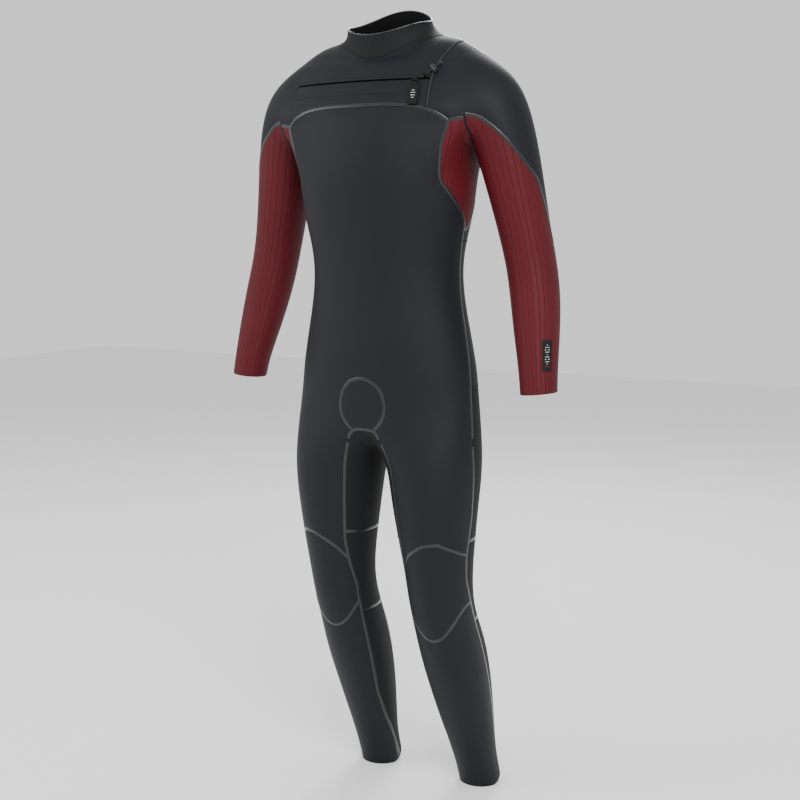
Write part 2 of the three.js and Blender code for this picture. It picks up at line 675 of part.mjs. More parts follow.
// Rounded slab in the u-v plane, `deep` thick about height z.
function slabSolid(width, height, corner, deep, x, y, z) {
  const shape = new THREE.Shape();
  const [w, h] = [width / 2, height / 2];
  shape.moveTo(-w + corner, -h);
  shape.lineTo(w - corner, -h);
  shape.absarc(w - corner, -h + corner, corner, -Math.PI / 2, 0);
  shape.absarc(w - corner, h - corner, corner, 0, Math.PI / 2);
  shape.absarc(-w + corner, h - corner, corner, Math.PI / 2, Math.PI);
  shape.absarc(-w + corner, -h + corner, corner, Math.PI, Math.PI * 1.5);
  const geometry = new THREE.ExtrudeGeometry(shape, { depth: deep, bevelEnabled: false, curveSegments: 3 });
  return toSolid(geometry, shift(x, y, z - deep / 2));
}

// Places a mesh in the zip's frame: local x along u, y along v, z along w.
function placeOnCone(mesh, angle, u = 0, v = 0, w = 0) {
  const frame = zipFrame(angle);
  mesh.quaternion.setFromRotationMatrix(new THREE.Matrix4().makeBasis(frame.u, frame.v, frame.w));
  mesh.position.copy(frame.origin).addScaledVector(frame.u, u).addScaledVector(frame.v, v)
    .addScaledVector(frame.w, w);
  return mesh;
}

// ---------------------------------------------------------------- zip
const under = (depth) => -(BODY_THICKNESS + depth); // a level below the body's lining
const TAPE = { near: 4.0, far: 14.5, seat: 10.5, outside: under(2.2), inside: under(3), stitched: under(1) };
const TEETH = { outside: under(1.6), inside: under(3.6), root: 3.6, tip: ROW_START, valley: 2.1, count: 36 };
const DAM = { low: -20, high: 21, step: 15, outside: under(5.4), inside: under(7.6) };
const SLIDER = { length: 16, width: 12.6, plate: 0.6, top: under(0.9), bottom: under(4.6) };
const PIN_HEIGHT = 2.6; // puller's hinge pin above the skin
const POST_HALF = 1.1; // half width of the posts in the slot
const PIN_SIZE = 0.7;

function tapeProfile(side) {
  const profile = [
    [TAPE.near, TAPE.inside], [TAPE.far, TAPE.inside], [TAPE.far, TAPE.stitched],
    [TAPE.seat, TAPE.stitched], [TAPE.seat, TAPE.outside], [TAPE.near, TAPE.outside],
  ];
  return side > 0 ? profile : profile.map(([v, w]) => [-v, w]).reverse();
}

function teethProfile(side, step) {
  const edge = step % 2 ? TEETH.valley : TEETH.tip;
  const profile = [
    [edge, TEETH.inside], [TEETH.root, TEETH.inside], [TEETH.root, TEETH.outside], [edge, TEETH.outside],
  ];
  return side > 0 ? profile : profile.map(([v, w]) => [-v, w]).reverse();
}

const damProfile = [
  [DAM.low, DAM.inside], [DAM.high, DAM.inside], [DAM.high, TAPE.stitched],
  [DAM.step, TAPE.stitched], [DAM.step, DAM.outside], [DAM.low, DAM.outside],
];

for (const [name, side] of [['upper', 1], ['lower', -1]]) {
  addMesh(`zip_tape_${name}`, sweepOnCone(() => tapeProfile(side), ...ZIP_ENDS, 24), BLACK, 0.9);
  const teeth = sweepOnCone((i) => teethProfile(side, i), ...ZIP_ENDS, 2 * TEETH.count);
  addMesh(`zip_teeth_${name}`, teeth, BLACK, 0.4);
}
addMesh('zip_dam', sweepOnCone(() => damProfile, ZIP_ENDS[0] - 0.6, ZIP_ENDS[1] + 0.6, 24), DARK);

const stop = boxSolid(3, 2 * TEETH.root, TEETH.outside - TEETH.inside, 0, 0, (TEETH.outside + TEETH.inside) / 2);
placeOnCone(addMesh('zip_stop_left', toGeometry(stop), BLACK, 0.4), ZIP_ENDS[1] + 0.25);
placeOnCone(addMesh('zip_stop_right', toGeometry(stop), BLACK, 0.4), ZIP_ENDS[0] - 0.25);

const postReach = PIN_HEIGHT + 1.2 - SLIDER.top;
const plateAt = (w) => slabSolid(SLIDER.length, SLIDER.width, 3, SLIDER.plate, 0, 0, w);
let slider = plateAt(SLIDER.top - SLIDER.plate / 2).add(plateAt(SLIDER.bottom + SLIDER.plate / 2));
slider = slider.add(boxSolid(4, 1.2, SLIDER.top - SLIDER.bottom - 0.2, 4.5, 0, (SLIDER.top + SLIDER.bottom) / 2));
for (const u of [-3.8, 3.8]) {
  slider = slider.add(boxSolid(2, 2 * POST_HALF, postReach, u, 0, SLIDER.top - 0.2 + postReach / 2));
}
slider = slider.add(rodSolid(PIN_SIZE, 7, 'x', 0, 0, PIN_HEIGHT, 12));
placeOnCone(addMesh('zip_slider', toGeometry(slider), '#2a2b2d', 0.35, 0.4), SLIDER_PARK);

// Puller: a knuckle on the slider's pin, a frame below it and a moulded tab looped through the frame.
const KNUCKLE = { outer: 1.8, inner: 1.1, length: 4.8 };
const FRAME = { width: 13, height: 8, bar: 1.5, middle: -6.6, thick: 1.5 };
let link = rodSolid(KNUCKLE.outer, KNUCKLE.length, 'x', 0, 0, 0);
link = link.add(boxSolid(4.4, 2.4, 1.4, 0, -2.4, 0));
link = link.add(slabSolid(FRAME.width, FRAME.height, 1.6, FRAME.thick, 0, FRAME.middle, 0));
link = link.subtract(slabSolid(FRAME.width - 2 * FRAME.bar, FRAME.height - 2 * FRAME.bar, 0.6, 4, 0, FRAME.middle, 0));
link = link.subtract(rodSolid(KNUCKLE.inner, KNUCKLE.length + 2, 'x', 0, 0, 0));
placeOnCone(addMesh('puller_link', toGeometry(link), '#232426', 0.4, 0.3), SLIDER_PARK, 0, 0, PIN_HEIGHT);

const TAB = { width: 18, height: 38, thick: 2.6, loopWidth: 9.2, loop: 2.2, bore: 1.35 };
const barV = FRAME.middle - FRAME.height / 2 + FRAME.bar / 2;
const tabTop = barV - TAB.loop - 0.4;
let tab = slabSolid(TAB.width, TAB.height, 3, TAB.thick, 0, tabTop - TAB.height / 2, 0);
tab = tab.add(rodSolid(TAB.loop, TAB.loopWidth, 'x', 0, barV, 0));
tab = tab.add(boxSolid(TAB.loopWidth, 3, TAB.thick, 0, tabTop + 0.3, 0));
tab = tab.subtract(rodSolid(TAB.bore, TAB.loopWidth + 1, 'x', 0, barV, 0, 12));
placeOnCone(addMesh('pull_tab', toGeometry(tab), BLACK, 0.55), SLIDER_PARK, 0, 0, PIN_HEIGHT);

// ---------------------------------------------------------------- neck drawcord
// The cord leaves its loop on the yoke and runs straight up and to the wearer's left.
const CORD = { angle: 14.6, rise: 41, height: 5.2, radius: 1.25, start: -4.5, end: 34, loopAt: 0, lockAt: 20 };
const cordBase = zipFrame(CORD.angle);
const along = cordBase.u.clone().multiplyScalar(Math.cos(rad(CORD.rise)))
  .addScaledVector(cordBase.v, Math.sin(rad(CORD.rise)));
const across = cordBase.w.clone().cross(along);
const cordOrigin = cordBase.origin.clone().addScaledVector(cordBase.v, 3).addScaledVector(cordBase.w, CORD.height);

// Local x runs along the cord, y across it and z away from the skin.
function placeOnCord(mesh, distance) {
  mesh.quaternion.setFromRotationMatrix(new THREE.Matrix4().makeBasis(along, across, cordBase.w));
  mesh.position.copy(cordOrigin).addScaledVector(along, distance);
  return mesh;
}

const HOLE = CORD.radius + 0.3;
const cord = rodSolid(CORD.radius, CORD.end - CORD.start, 'x', (CORD.end + CORD.start) / 2, 0, 0);
placeOnCord(addMesh('drawcord', toGeometry(cord), '#6d7073', 0.8), 0);

const loopBlock = slabSolid(5, 6, 1.2, 7.6, 0, 0, -1.1);
const cordLoop = loopBlock.subtract(rodSolid(HOLE, 8, 'x', 0, 0, 0));
placeOnCord(addMesh('cord_loop', toGeometry(cordLoop), BLACK, 0.9), CORD.loopAt);

const beadSolid = (radius) => toSolid(new THREE.SphereGeometry(radius, 12, 8));
const knot = beadSolid(2.4).subtract(rodSolid(HOLE, 3.2, 'x', 1.8, 0, 0));
placeOnCord(addMesh('cord_knot', toGeometry(knot), '#55585b', 0.9), CORD.start - 0.5);
const endBead = beadSolid(2.9).subtract(rodSolid(HOLE, 3.2, 'x', -2.1, 0, 0));
placeOnCord(addMesh('cord_end_bead', toGeometry(endBead), '#9a9c9e', 0.4), CORD.end + 0.8);

// Barrel lock: the body's bore holds a sprung button whose slot lets the cord through.
const LOCK = { radius: 4.6, low: -6, high: 6, bore: 3.3, boreFrom: -3.6, button: 2.9, top: 9, travel: 2.4 };
const lockLength = LOCK.high - LOCK.low;
let lockBody = rodSolid(LOCK.radius, lockLength, 'y', 0, (LOCK.high + LOCK.low) / 2, 0, 20);
const boreLength = LOCK.high + 1 - LOCK.boreFrom;
lockBody = lockBody.subtract(rodSolid(LOCK.bore, boreLength, 'y', 0, LOCK.boreFrom + boreLength / 2, 0));
lockBody = lockBody.subtract(rodSolid(HOLE, 14, 'x', 0, 1.2, 0, 12));
const buttonLow = LOCK.boreFrom + LOCK.travel + 0.4;
let button = rodSolid(LOCK.button, LOCK.top - buttonLow, 'y', 0, (LOCK.top + buttonLow) / 2, 0);
button = button.subtract(boxSolid(8, 2 * HOLE + LOCK.travel, 2 * HOLE, 0, 1.2 + LOCK.travel / 2, 0));
const lockShift = across.clone().multiplyScalar(-1.2);
placeOnCord(addMesh('cord_lock_body', toGeometry(lockBody), '#8b8d90', 0.4), CORD.lockAt).position.add(lockShift);
placeOnCord(addMesh('cord_lock_button', toGeometry(button), '#55585b', 0.4), CORD.lockAt).position.add(lockShift);

// ---------------------------------------------------------------- label on the left forearm
const LABEL = { low: 838, high: 890, front: -54, back: -28, lift: 0.35, thick: 0.9 };

// A small quilt of points laid over the sleeve, a little proud of it.
function labelGeometry() {
  const rows = 6;
  const columns = 3;
  const sleeveMesh = new THREE.Mesh(panelGeometry(leftOf(forearms)[0]),
    new THREE.MeshBasicMaterial({ side: THREE.DoubleSide }));
  const ray = new THREE.Raycaster();
  const layers = [LABEL.lift + LABEL.thick, LABEL.lift].map((lift) => {
    const points = [];
    for (let row = 0; row <= rows; row++) {
      for (let column = 0; column <= columns; column++) {
        const z = LABEL.low + (LABEL.high - LABEL.low) * row / rows;
        const angle = rad(LABEL.front + (LABEL.back - LABEL.front) * column / columns);
        const centre = vec(armCentre(z).x, armCentre(z).y, z);
        const out = vec(Math.cos(angle), Math.sin(angle), 0);
        ray.set(centre.clone().addScaledVector(out, 80), out.clone().negate());
        points.push(ray.intersectObject(sleeveMesh)[0].point.addScaledVector(out, lift));
      }
    }
    return points;
  });
  const positions = layers.flat().flatMap((p) => [p.x, p.y, p.z]);
  const size = layers[0].length;
  const index = [];
  const quad = (a, b, c, d) => index.push(a, b, c, a, c, d);
  for (let row = 0; row < rows; row++) {
    for (let column = 0; column < columns; column++) {
      const a = row * (columns + 1) + column;
      const [b, c, d] = [a + 1, a + columns + 2, a + columns + 1];
      quad(a, b, c, d);
      quad(size + a, size + d, size + c, size + b);
    }
  }
  const rim = [];
  for (let column = 0; column < columns; column++) rim.push(column);
  for (let row = 0; row < rows; row++) rim.push(row * (columns + 1) + columns);
  for (let column = columns; column > 0; column--) rim.push(rows * (columns + 1) + column);
  for (let row = rows; row > 0; row--) rim.push(row * (columns + 1));
  rim.forEach((a, i) => {
    const b = rim[(i + 1) % rim.length];
    quad(b, a, size + a, size + b);
  });
  const geometry = new THREE.BufferGeometry();
  geometry.setAttribute('position', new THREE.Float32BufferAttribute(positions, 3));
  geometry.setIndex(index);
  return geometry;
}
addMesh('sleeve_label', labelGeometry(), BLACK, 0.5);

export default suit;
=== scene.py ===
# %% [markdown]
# # A full-length wetsuit
# The suit is shown filled out, as on a standing wearer. Its hardware stays as the frame gives it,
# and its soft panels are built here as fine sheets. All sizes are in metres in the frame, while the
# body's rings are written in millimetres above the ankle hems, as a pattern maker would note them.

# %% Load the frame
import math

import bpy
import numpy as np
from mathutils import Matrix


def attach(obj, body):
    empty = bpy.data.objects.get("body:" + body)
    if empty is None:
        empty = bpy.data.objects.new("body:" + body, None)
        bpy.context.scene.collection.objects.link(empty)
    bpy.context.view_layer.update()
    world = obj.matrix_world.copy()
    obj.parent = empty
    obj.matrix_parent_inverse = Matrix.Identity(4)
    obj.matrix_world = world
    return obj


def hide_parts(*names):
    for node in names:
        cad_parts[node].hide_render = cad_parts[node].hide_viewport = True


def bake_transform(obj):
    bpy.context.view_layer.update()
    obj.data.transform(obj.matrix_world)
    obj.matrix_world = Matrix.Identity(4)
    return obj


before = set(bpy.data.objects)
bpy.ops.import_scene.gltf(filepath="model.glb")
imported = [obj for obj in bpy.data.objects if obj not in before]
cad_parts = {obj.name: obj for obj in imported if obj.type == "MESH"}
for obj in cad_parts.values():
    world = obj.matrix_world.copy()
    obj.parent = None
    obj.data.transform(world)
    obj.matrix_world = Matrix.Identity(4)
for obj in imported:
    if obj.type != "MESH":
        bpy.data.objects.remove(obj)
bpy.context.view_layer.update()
NECK_HEIGHT = 1400.0
NECK_BACKSET = 16.0
BODY_THICKNESS = 4.0
SLEEVE_THICKNESS = 3.0

# %% [markdown]
# ## The wearer's shape
# A suit has no shape of its own: panels of foamed neoprene take the wearer's. A coarse cage of rings
# smoothed by a Subdivision Surface gives such a body with few numbers, and keeps limbs and trunk in
# one skin, so that seams may run anywhere over it.

# %% Rings of the trunk, legs and arms
# trunk, upwards: height in front, at the side, behind; half width; depth in front, behind; middle's y
TRUNK = [
    (720, 785, 735, 182, 98, 108, 5), (795, 830, 810, 178, 102, 110, 5), (870, 890, 880, 166, 104, 100, 5),
    (945, 955, 950, 152, 103, 92, 5), (1010, 1015, 1015, 147, 107, 92, 5),
    (1075, 1070, 1085, 158, 118, 104, 5), (1135, 1120, 1150, 172, 130, 116, 5),
    (1195, 1185, 1215, 182, 136, 122, 5),
    (1255, 1275, 1285, 190, 128, 124, 8), (1322, 1378, 1360, 184, 106, 114, 14),
    (1358, 1408, 1408, 140, 84, 92, 18), (1364, 1412, 1430, 98, 76, 76, 18),
    (1386, 1424, 1450, 83, 70, 66, 14), (1410, 1436, 1470, 80, 70, 63, 10),
]
# legs, downwards: height; middle's x, y; half width; depth in front, behind; tilt
LEG = [
    (665, 101, 2, 92, 94, 92, 0), (590, 102, 0, 83, 88, 86, 0), (510, 104, 4, 72, 77, 76, 0),
    (450, 105, 10, 64, 68, 68, 3), (395, 105, 20, 61, 64, 66, 8), (345, 105, 36, 60, 58, 76, 16),
    (280, 107, 60, 62, 54, 92, 20), (200, 108, 94, 59, 48, 84, 20), (110, 110, 130, 49, 42, 62, 20),
    (50, 112, 153, 42, 39, 50, 20), (0, 113, 172, 42, 39, 50, 20),
]
# arms, downwards: middle's x, y, height; half width, half depth; tilt outwards
ARM = [
    (208, 12, 1290, 64, 68, 45), (228, 20, 1215, 55, 61, 20), (243, 28, 1140, 50, 54, 12),
    (257, 34, 1070, 46, 49, 11), (269, 36, 1015, 45, 46, 10), (279, 30, 965, 45, 46, 8),
    (288, 18, 910, 42, 43, 7), (296, 6, 860, 37, 38, 7), (301, -2, 825, 34, 35, 6), (304, -6, 797, 33, 34, 6),
]
LEG_COLUMNS = np.radians([-38, -8, 22, 54, 90, 126, 158, 188, 218, 245, 270, 295])
ARM_COLUMNS = np.radians([-52, -26, 0, 26, 52, 76, 104, 128, 154, 180, 206, 232, 256, 284])
FORK = [(-50, 706), (5, 692), (62, 706)]
COLUMNS = 16
ARMHOLE_ROWS = (6, 9)
ARMHOLE_COLUMNS = (2, 6)


# %% Join the rings into one cage
def trunk_ring(row):
    front, side, back, half, depth_front, depth_back, middle = row
    ring = []
    for j in range(COLUMNS):
        c, s = math.cos(2 * math.pi * j / COLUMNS), math.sin(2 * math.pi * j / COLUMNS)
        height = side + ((front if c > 0 else back) - side) * c * c
        ring.append((half * s, middle - (depth_front if c > 0 else depth_back) * c, height))
    return ring


def leg_ring(row, side):
    z, cx, cy, half, front, back, tilt = row
    tilt = math.radians(tilt)
    depth = [-(front if math.cos(t) > 0 else back) * math.cos(t) for t in LEG_COLUMNS]
    return [(side * (cx + half * math.sin(t)), cy + d * math.cos(tilt), z + d * math.sin(tilt))
            for t, d in zip(LEG_COLUMNS, depth)]


def arm_ring(row, side):
    cx, cy, z, half, depth, tilt = row
    tilt = math.radians(tilt)
    return [(side * (cx + half * math.cos(t) * math.cos(tilt)), cy + depth * math.sin(t),
             z + half * math.cos(t) * math.sin(tilt)) for t in ARM_COLUMNS]


def armhole_loop(column):
    low, high = ARMHOLE_ROWS
    front, back = ARMHOLE_COLUMNS
    loop = [column(high, j) for j in range(front, back + 1)]
    loop += [column(row, back) for row in range(high - 1, low, -1)]
    loop += [column(low, j) for j in range(back, front - 1, -1)]
    return loop + [column(row, front) for row in range(low + 1, high)]


def build_cage():
    points, faces = [], []

    def add(point):
        points.append(point)
        return len(points) - 1

    low, high = ARMHOLE_ROWS
    front, back = ARMHOLE_COLUMNS
    grid = []
    for row, numbers in enumerate(TRUNK):
        hidden = [low < row < high and front < min(j, COLUMNS - j) < back for j in range(COLUMNS)]
        grid.append([None if hide else add(p) for p, hide in zip(trunk_ring(numbers), hidden)])
    for row in range(len(TRUNK) - 1):
        for j in range(COLUMNS):
            n = (j + 1) % COLUMNS
            if not (low <= row < high and front <= min(j, COLUMNS - 1 - j) < back):
                faces.append((grid[row][j], grid[row][n], grid[row + 1][n], grid[row + 1][j]))
    fork = [add((0, y, z)) for y, z in FORK]
    for side in (1, -1):
        def column(row, j):
            return grid[row][(side * j) % COLUMNS]
        leg_top = [column(0, j) for j in range(COLUMNS // 2 + 1)] + fork[::-1]
        limbs = [(leg_top, [leg_ring(r, side) for r in LEG]),
                 (armhole_loop(column), [arm_ring(r, side) for r in ARM])]
        for upper, rings in limbs:
            for ring in rings:
                ids = [add(p) for p in ring]
                count = len(ids)
                for i in range(count):
                    j = (i + 1) % count
                    face = (ids[i], ids[j], upper[j], upper[i])
                    faces.append(face if side > 0 else face[::-1])
                upper = ids
    return points, faces


# %% Smooth the cage into a fine skin
def smooth_skin(levels):
    points, faces = build_cage()
    mesh = bpy.data.meshes.new("cage")
    mesh.from_pydata(points, [], faces)
    cage = bpy.data.objects.new("cage", mesh)
    bpy.context.scene.collection.objects.link(cage)
    subdivision = cage.modifiers.new("smooth", "SUBSURF")
    subdivision.levels = subdivision.render_levels = levels
    fine = cage.evaluated_get(bpy.context.evaluated_depsgraph_get()).to_mesh()
    vertices = np.empty(len(fine.vertices) * 3)
    fine.vertices.foreach_get("co", vertices)
    corners = np.empty(len(fine.loops), int)
    fine.loops.foreach_get("vertex_index", corners)
    bpy.data.objects.remove(cage)
    return vertices.reshape(-1, 3), corners.reshape(-1, 4)


SKIN_LEVELS = 3
skin_points, skin_quads = smooth_skin(SKIN_LEVELS)
print("skin:", len(skin_points), "points,", len(skin_quads), "faces")

# %% [markdown]
# ## The zip's cone
# A stiff zip makes the chest lie flat along it. The chest is laid onto a shallow cone about an
# upright axis, the same one that the slider turns about.

# %% Lay the chest onto the cone
ZIP_HEIGHT, ZIP_RADIUS, ZIP_AXIS_Y, ZIP_SLOPE = 1331.0, 450.0, 367.0, 0.46


def cone_y(x, z):
    radius = ZIP_RADIUS + ZIP_SLOPE * (ZIP_HEIGHT - z)
    return ZIP_AXIS_Y - np.sqrt(np.maximum(radius ** 2 - x ** 2, 1.0))


def lay_on_cone(points):
    x, y, z = points.T
    share = np.interp(z, [1262, 1287, 1357, 1373], [0, 1, 1, 0]) * np.interp(abs(x), [152, 182], [1, 0])
    share = np.where(y < 0, share, 0)
    return np.column_stack([x, y + (cone_y(x, z) - y) * share, z])


skin_points = lay_on_cone(skin_points)

# %% [markdown]
# ## Cutting the panels
# A pattern is a set of lines drawn on the body. Each line here is the zero of a distance field, and
# the skin is cut along it. A cut also remembers its own line, for the seam that is laid over it.


# %% The pool of points and the cutting tool
class Skin:
    """Points of the suit's outside with their normals, shared by all panels."""

    def __init__(self, points, quads):
        self.points = points
        triangles = np.concatenate([quads[:, [0, 1, 2]], quads[:, [0, 2, 3]]])
        corners = points[triangles]
        face_normals = np.cross(corners[:, 1] - corners[:, 0], corners[:, 2] - corners[:, 0])
        normals = np.zeros_like(points)
        for k in range(3):
            np.add.at(normals, triangles[:, k], face_normals)
        self.normals = normals / np.linalg.norm(normals, axis=1)[:, None]
        self.triangles = triangles

    def cut(self, triangles, field, seam=None):
        """Splits triangles where field changes sign; `seam` collects the line's point pairs."""
        level = field(self.points)
        level = np.where(abs(level) < 1e-6, 1e-6, level)
        positive = level[triangles] > 0
        count = positive.sum(1)
        sides = [[triangles[count == 3]], [triangles[count == 0]]]
        crossing = triangles[(count == 1) | (count == 2)]
        if not len(crossing):
            return sides[0][0], sides[1][0]
        positive = level[crossing] > 0
        lone_positive = positive.sum(1) == 1
        lone = np.where(lone_positive, positive.argmax(1), (~positive).argmax(1))
        rows = np.arange(len(crossing))
        a, b, c = (crossing[rows, (lone + k) % 3] for k in range(3))
        pairs = np.concatenate([np.column_stack([a, b]), np.column_stack([a, c])])
        edges, where = np.unique(np.sort(pairs, axis=1), axis=0, return_inverse=True)
        share = level[edges[:, 0]] / (level[edges[:, 0]] - level[edges[:, 1]])
        share = np.clip(share, 0.03, 0.97)[:, None]
        first = len(self.points)
        places = self.points[edges[:, 0]] * (1 - share) + self.points[edges[:, 1]] * share
        self.points = np.vstack([self.points, places])
        normals = self.normals[edges[:, 0]] * (1 - share) + self.normals[edges[:, 1]] * share
        self.normals = np.vstack([self.normals, normals / np.linalg.norm(normals, axis=1)[:, None]])
        ab, ac = (where.reshape(2, -1) + first)
        lone_side = np.column_stack([a, ab, ac])
        other_side = np.concatenate([np.column_stack([ab, b, c]), np.column_stack([ab, c, ac])])
        twice = np.tile(lone_positive, 2)
        sides[0] += [lone_side[lone_positive], other_side[~twice]]
        sides[1] += [lone_side[~lone_positive], other_side[twice]]
        if seam is not None:
            seam += list(zip(ab.tolist(), ac.tolist()))
        return np.concatenate(sides[0]), np.concatenate(sides[1])


skin = Skin(skin_points, skin_quads)

# %% Seam lines as fields
# many of the heights and places in these tables were printed by another program and typed in here
LEG_BY_HEIGHT = np.array(LEG[::-1], float)
ARM_BY_HEIGHT = np.array(ARM[::-1], float)
CAP_FRONT = ([1040, 1050, 1118, 1160, 1180, 1201, 1225, 1245, 1265, 1290],
             [38, 22, 0, -12, -30, -46, -62, -78, -97, -180])
CAP_BACK = ([1040, 1050, 1085, 1118, 1160, 1265, 1290], [6, 22, 52, 74, 85, 100, 180])
SIDE_FRONT = ([1060, 1080, 1106, 1127, 1147, 1160, 1218, 1257], [94, 88, 82, 75, 68, 63, 61, 64])
SIDE_BACK = ([1060, 1080, 1127, 1160, 1218], [86, 92, 106, 115, 122])
SIDE_SEAM_Y = ([0, 110, 205, 317, 405, 448, 496, 561, 690, 778, 900, 1023, 1090, 1262, 1380],
               [190, 150, 115, 67, 21, 0, -8, -5, -14, -10, -1, 3, -4, 5, 20])
INNER_LEG = ([0, 49, 114, 178, 271, 413, 465, 505, 660, 719],
             [-105, -90, -66, -56, -59, -56, -44, -38, -36, -40])
KNEE_TOP = ([-60, -45, -30, -10, 10, 35, 55, 65], [462, 470, 492, 507, 518, 521, 508, 496])
CHEST = ([0, 60, 97, 122, 147, 161, 186], [1288, 1288, 1285, 1280, 1269, 1257, 1235])
OPENING = ([1262, 1327, 1341, 1359, 1380, 1402], [128, 124, 125, 130, 137, 142])
CHANNEL = 1.6
FLAP_END = -150
ARMHOLE_X = 186
SIDE_TOP, SIDE_BOTTOM = 1262, 1040
INNER_LEG_TOP = 722
WAIST, SEAT, KNEE_BACK, CALF = 1055, 800, 522, 362
KNEE_LOW = 328
GUSSET_HALF_WIDTH, GUSSET_HALF_HEIGHT, GUSSET_MIDDLE = 46, 50, 765


def leg_angle(p):
    cx, cy = (np.interp(p[:, 2], LEG_BY_HEIGHT[:, 0], LEG_BY_HEIGHT[:, k]) for k in (1, 2))
    return np.degrees(np.arctan2(abs(p[:, 0]) - cx, cy - p[:, 1]))


def arm_angle(p):
    cx, cy = (np.interp(p[:, 2], ARM_BY_HEIGHT[:, 2], ARM_BY_HEIGHT[:, k]) for k in (0, 1))
    return np.degrees(np.arctan2(p[:, 1] - cy, abs(p[:, 0]) - cx))


def trunk_angle(p):
    return np.degrees(np.arctan2(abs(p[:, 0]), 5 - p[:, 1]))


def leg_x(p):
    return abs(p[:, 0]) - np.interp(p[:, 2], LEG_BY_HEIGHT[:, 0], LEG_BY_HEIGHT[:, 1])


def neck_field(p):
    reach = np.hypot(p[:, 0], p[:, 1] - 18)
    c = (18 - p[:, 1]) / reach
    height = 1408 + (np.where(c > 0, 1372, 1432) - 1408) * c * c
    return p[:, 2] - height - np.maximum(0, reach - 95) * 0.8


def cap_field(p):
    angle, z = arm_angle(p), p[:, 2]
    return 0.85 * np.minimum(angle - np.interp(z, *CAP_FRONT), np.interp(z, *CAP_BACK) - angle)


def side_field(p):
    angle, z = trunk_angle(p), p[:, 2]
    behind_front = 2.6 * (angle - np.interp(z, *SIDE_FRONT))
    before_back = 2.6 * (np.interp(z, *SIDE_BACK) - angle)
    return np.minimum.reduce([behind_front, before_back, SIDE_TOP - z, z - SIDE_BOTTOM])


def inner_leg_field(p):
    angle, z = leg_angle(p), p[:, 2]
    before_back = 1.4 * (angle + 135)
    return np.minimum.reduce([1.4 * (np.interp(z, *INNER_LEG) - angle), before_back, INNER_LEG_TOP - z])


def back_field(p):
    cx = np.interp(p[:, 2], LEG_BY_HEIGHT[:, 0], LEG_BY_HEIGHT[:, 1])
    inner_half = (abs(p[:, 0]) < cx) & (p[:, 2] < INNER_LEG_TOP)
    return np.where(inner_half, 1.4 * (-90 - leg_angle(p)), p[:, 1] - np.interp(p[:, 2], *SIDE_SEAM_Y))


def above(height):
    return lambda p: p[:, 2] - height


def gusset_field(p):
    across, up = p[:, 0] / GUSSET_HALF_WIDTH, (p[:, 2] - GUSSET_MIDDLE) / GUSSET_HALF_HEIGHT
    return GUSSET_HALF_WIDTH * (1 - np.hypot(across, up))


def knee_low_field(p):
    return p[:, 2] - KNEE_LOW - 0.022 * leg_x(p) ** 2


def below_zip(offset):
    return lambda p: np.minimum(ZIP_HEIGHT + offset - p[:, 2], p[:, 0] - FLAP_END)


# %% Cut the pattern
seams = {name: [] for name in (
    "neck", "armhole", "cap", "side", "inner_leg", "back", "waist", "seat", "knee_back", "calf", "gusset",
    "knee_top", "knee_low", "chest", "opening", "flap", "yoke")}
collar, rest = skin.cut(skin.triangles, neck_field, seams["neck"])
arms, trunk = skin.cut(rest, lambda p: abs(p[:, 0]) - ARMHOLE_X, seams["armhole"])
caps, sleeves = skin.cut(arms, cap_field, seams["cap"])
sides, trunk = skin.cut(trunk, side_field, seams["side"])
inner_legs, shell = skin.cut(trunk, inner_leg_field, seams["inner_leg"])
back, front = skin.cut(shell, back_field, seams["back"])
upper_back, back = skin.cut(back, above(WAIST), seams["waist"])
lower_back, back = skin.cut(back, above(SEAT), seams["seat"])
thigh_backs, outer_shins = skin.cut(back, above(KNEE_BACK), seams["knee_back"])
inner_thighs, inner_shins = skin.cut(inner_legs, above(KNEE_BACK), seams["knee_back"])
knee_backs, calves = skin.cut(np.concatenate([outer_shins, inner_shins]), above(CALF), seams["calf"])
gusset, front = skin.cut(front, gusset_field, seams["gusset"])
lower_legs, front = skin.cut(front, lambda p: np.interp(leg_x(p), *KNEE_TOP) - p[:, 2], seams["knee_top"])
knee_pads, shins = skin.cut(lower_legs, knee_low_field, seams["knee_low"])
chest, front = skin.cut(front, lambda p: p[:, 2] - np.interp(abs(p[:, 0]), *CHEST), seams["chest"])
left_shoulder, bib = skin.cut(chest, lambda p: p[:, 0] - np.interp(p[:, 2], *OPENING), seams["opening"])
flap, bib = skin.cut(bib, below_zip(-CHANNEL), seams["flap"])
_, yoke = skin.cut(bib, below_zip(CHANNEL), seams["yoke"])
print("cut points:", len(skin.points))

# %% [markdown]
# Some seams are only sewn lines: the outer arm's seam runs down one sleeve, so the sleeve is cut
# along it and kept whole.

# %% Outer arm seam, rims and sides
OUTER_ARM = 20.0
seams["outer_arm"] = []


def from_outer_arm(p):
    return np.sin(np.radians(arm_angle(p) - OUTER_ARM)) * 45


sleeves = np.concatenate(skin.cut(sleeves, from_outer_arm, seams["outer_arm"]))
FLAP_STITCH, YOKE_STITCH = 1307, 1337
for label in ("flap_stitch", "yoke_stitch"):
    seams[label] = []
flap = np.concatenate(skin.cut(flap, above(FLAP_STITCH), seams["flap_stitch"]))
yoke = np.concatenate(skin.cut(yoke, above(YOKE_STITCH), seams["yoke_stitch"]))


def directed_rim(triangles):
    """Edges that only one triangle has, in that triangle's direction."""
    edges = np.concatenate([triangles[:, [0, 1]], triangles[:, [1, 2]], triangles[:, [2, 0]]])
    size = triangles.max() + 1
    codes = edges[:, 0] * size + edges[:, 1]
    return edges[~np.isin(codes, edges[:, 1] * size + edges[:, 0])]


def on_side(triangles, side):
    return triangles[side * skin.points[triangles, 0].mean(1) > 0]


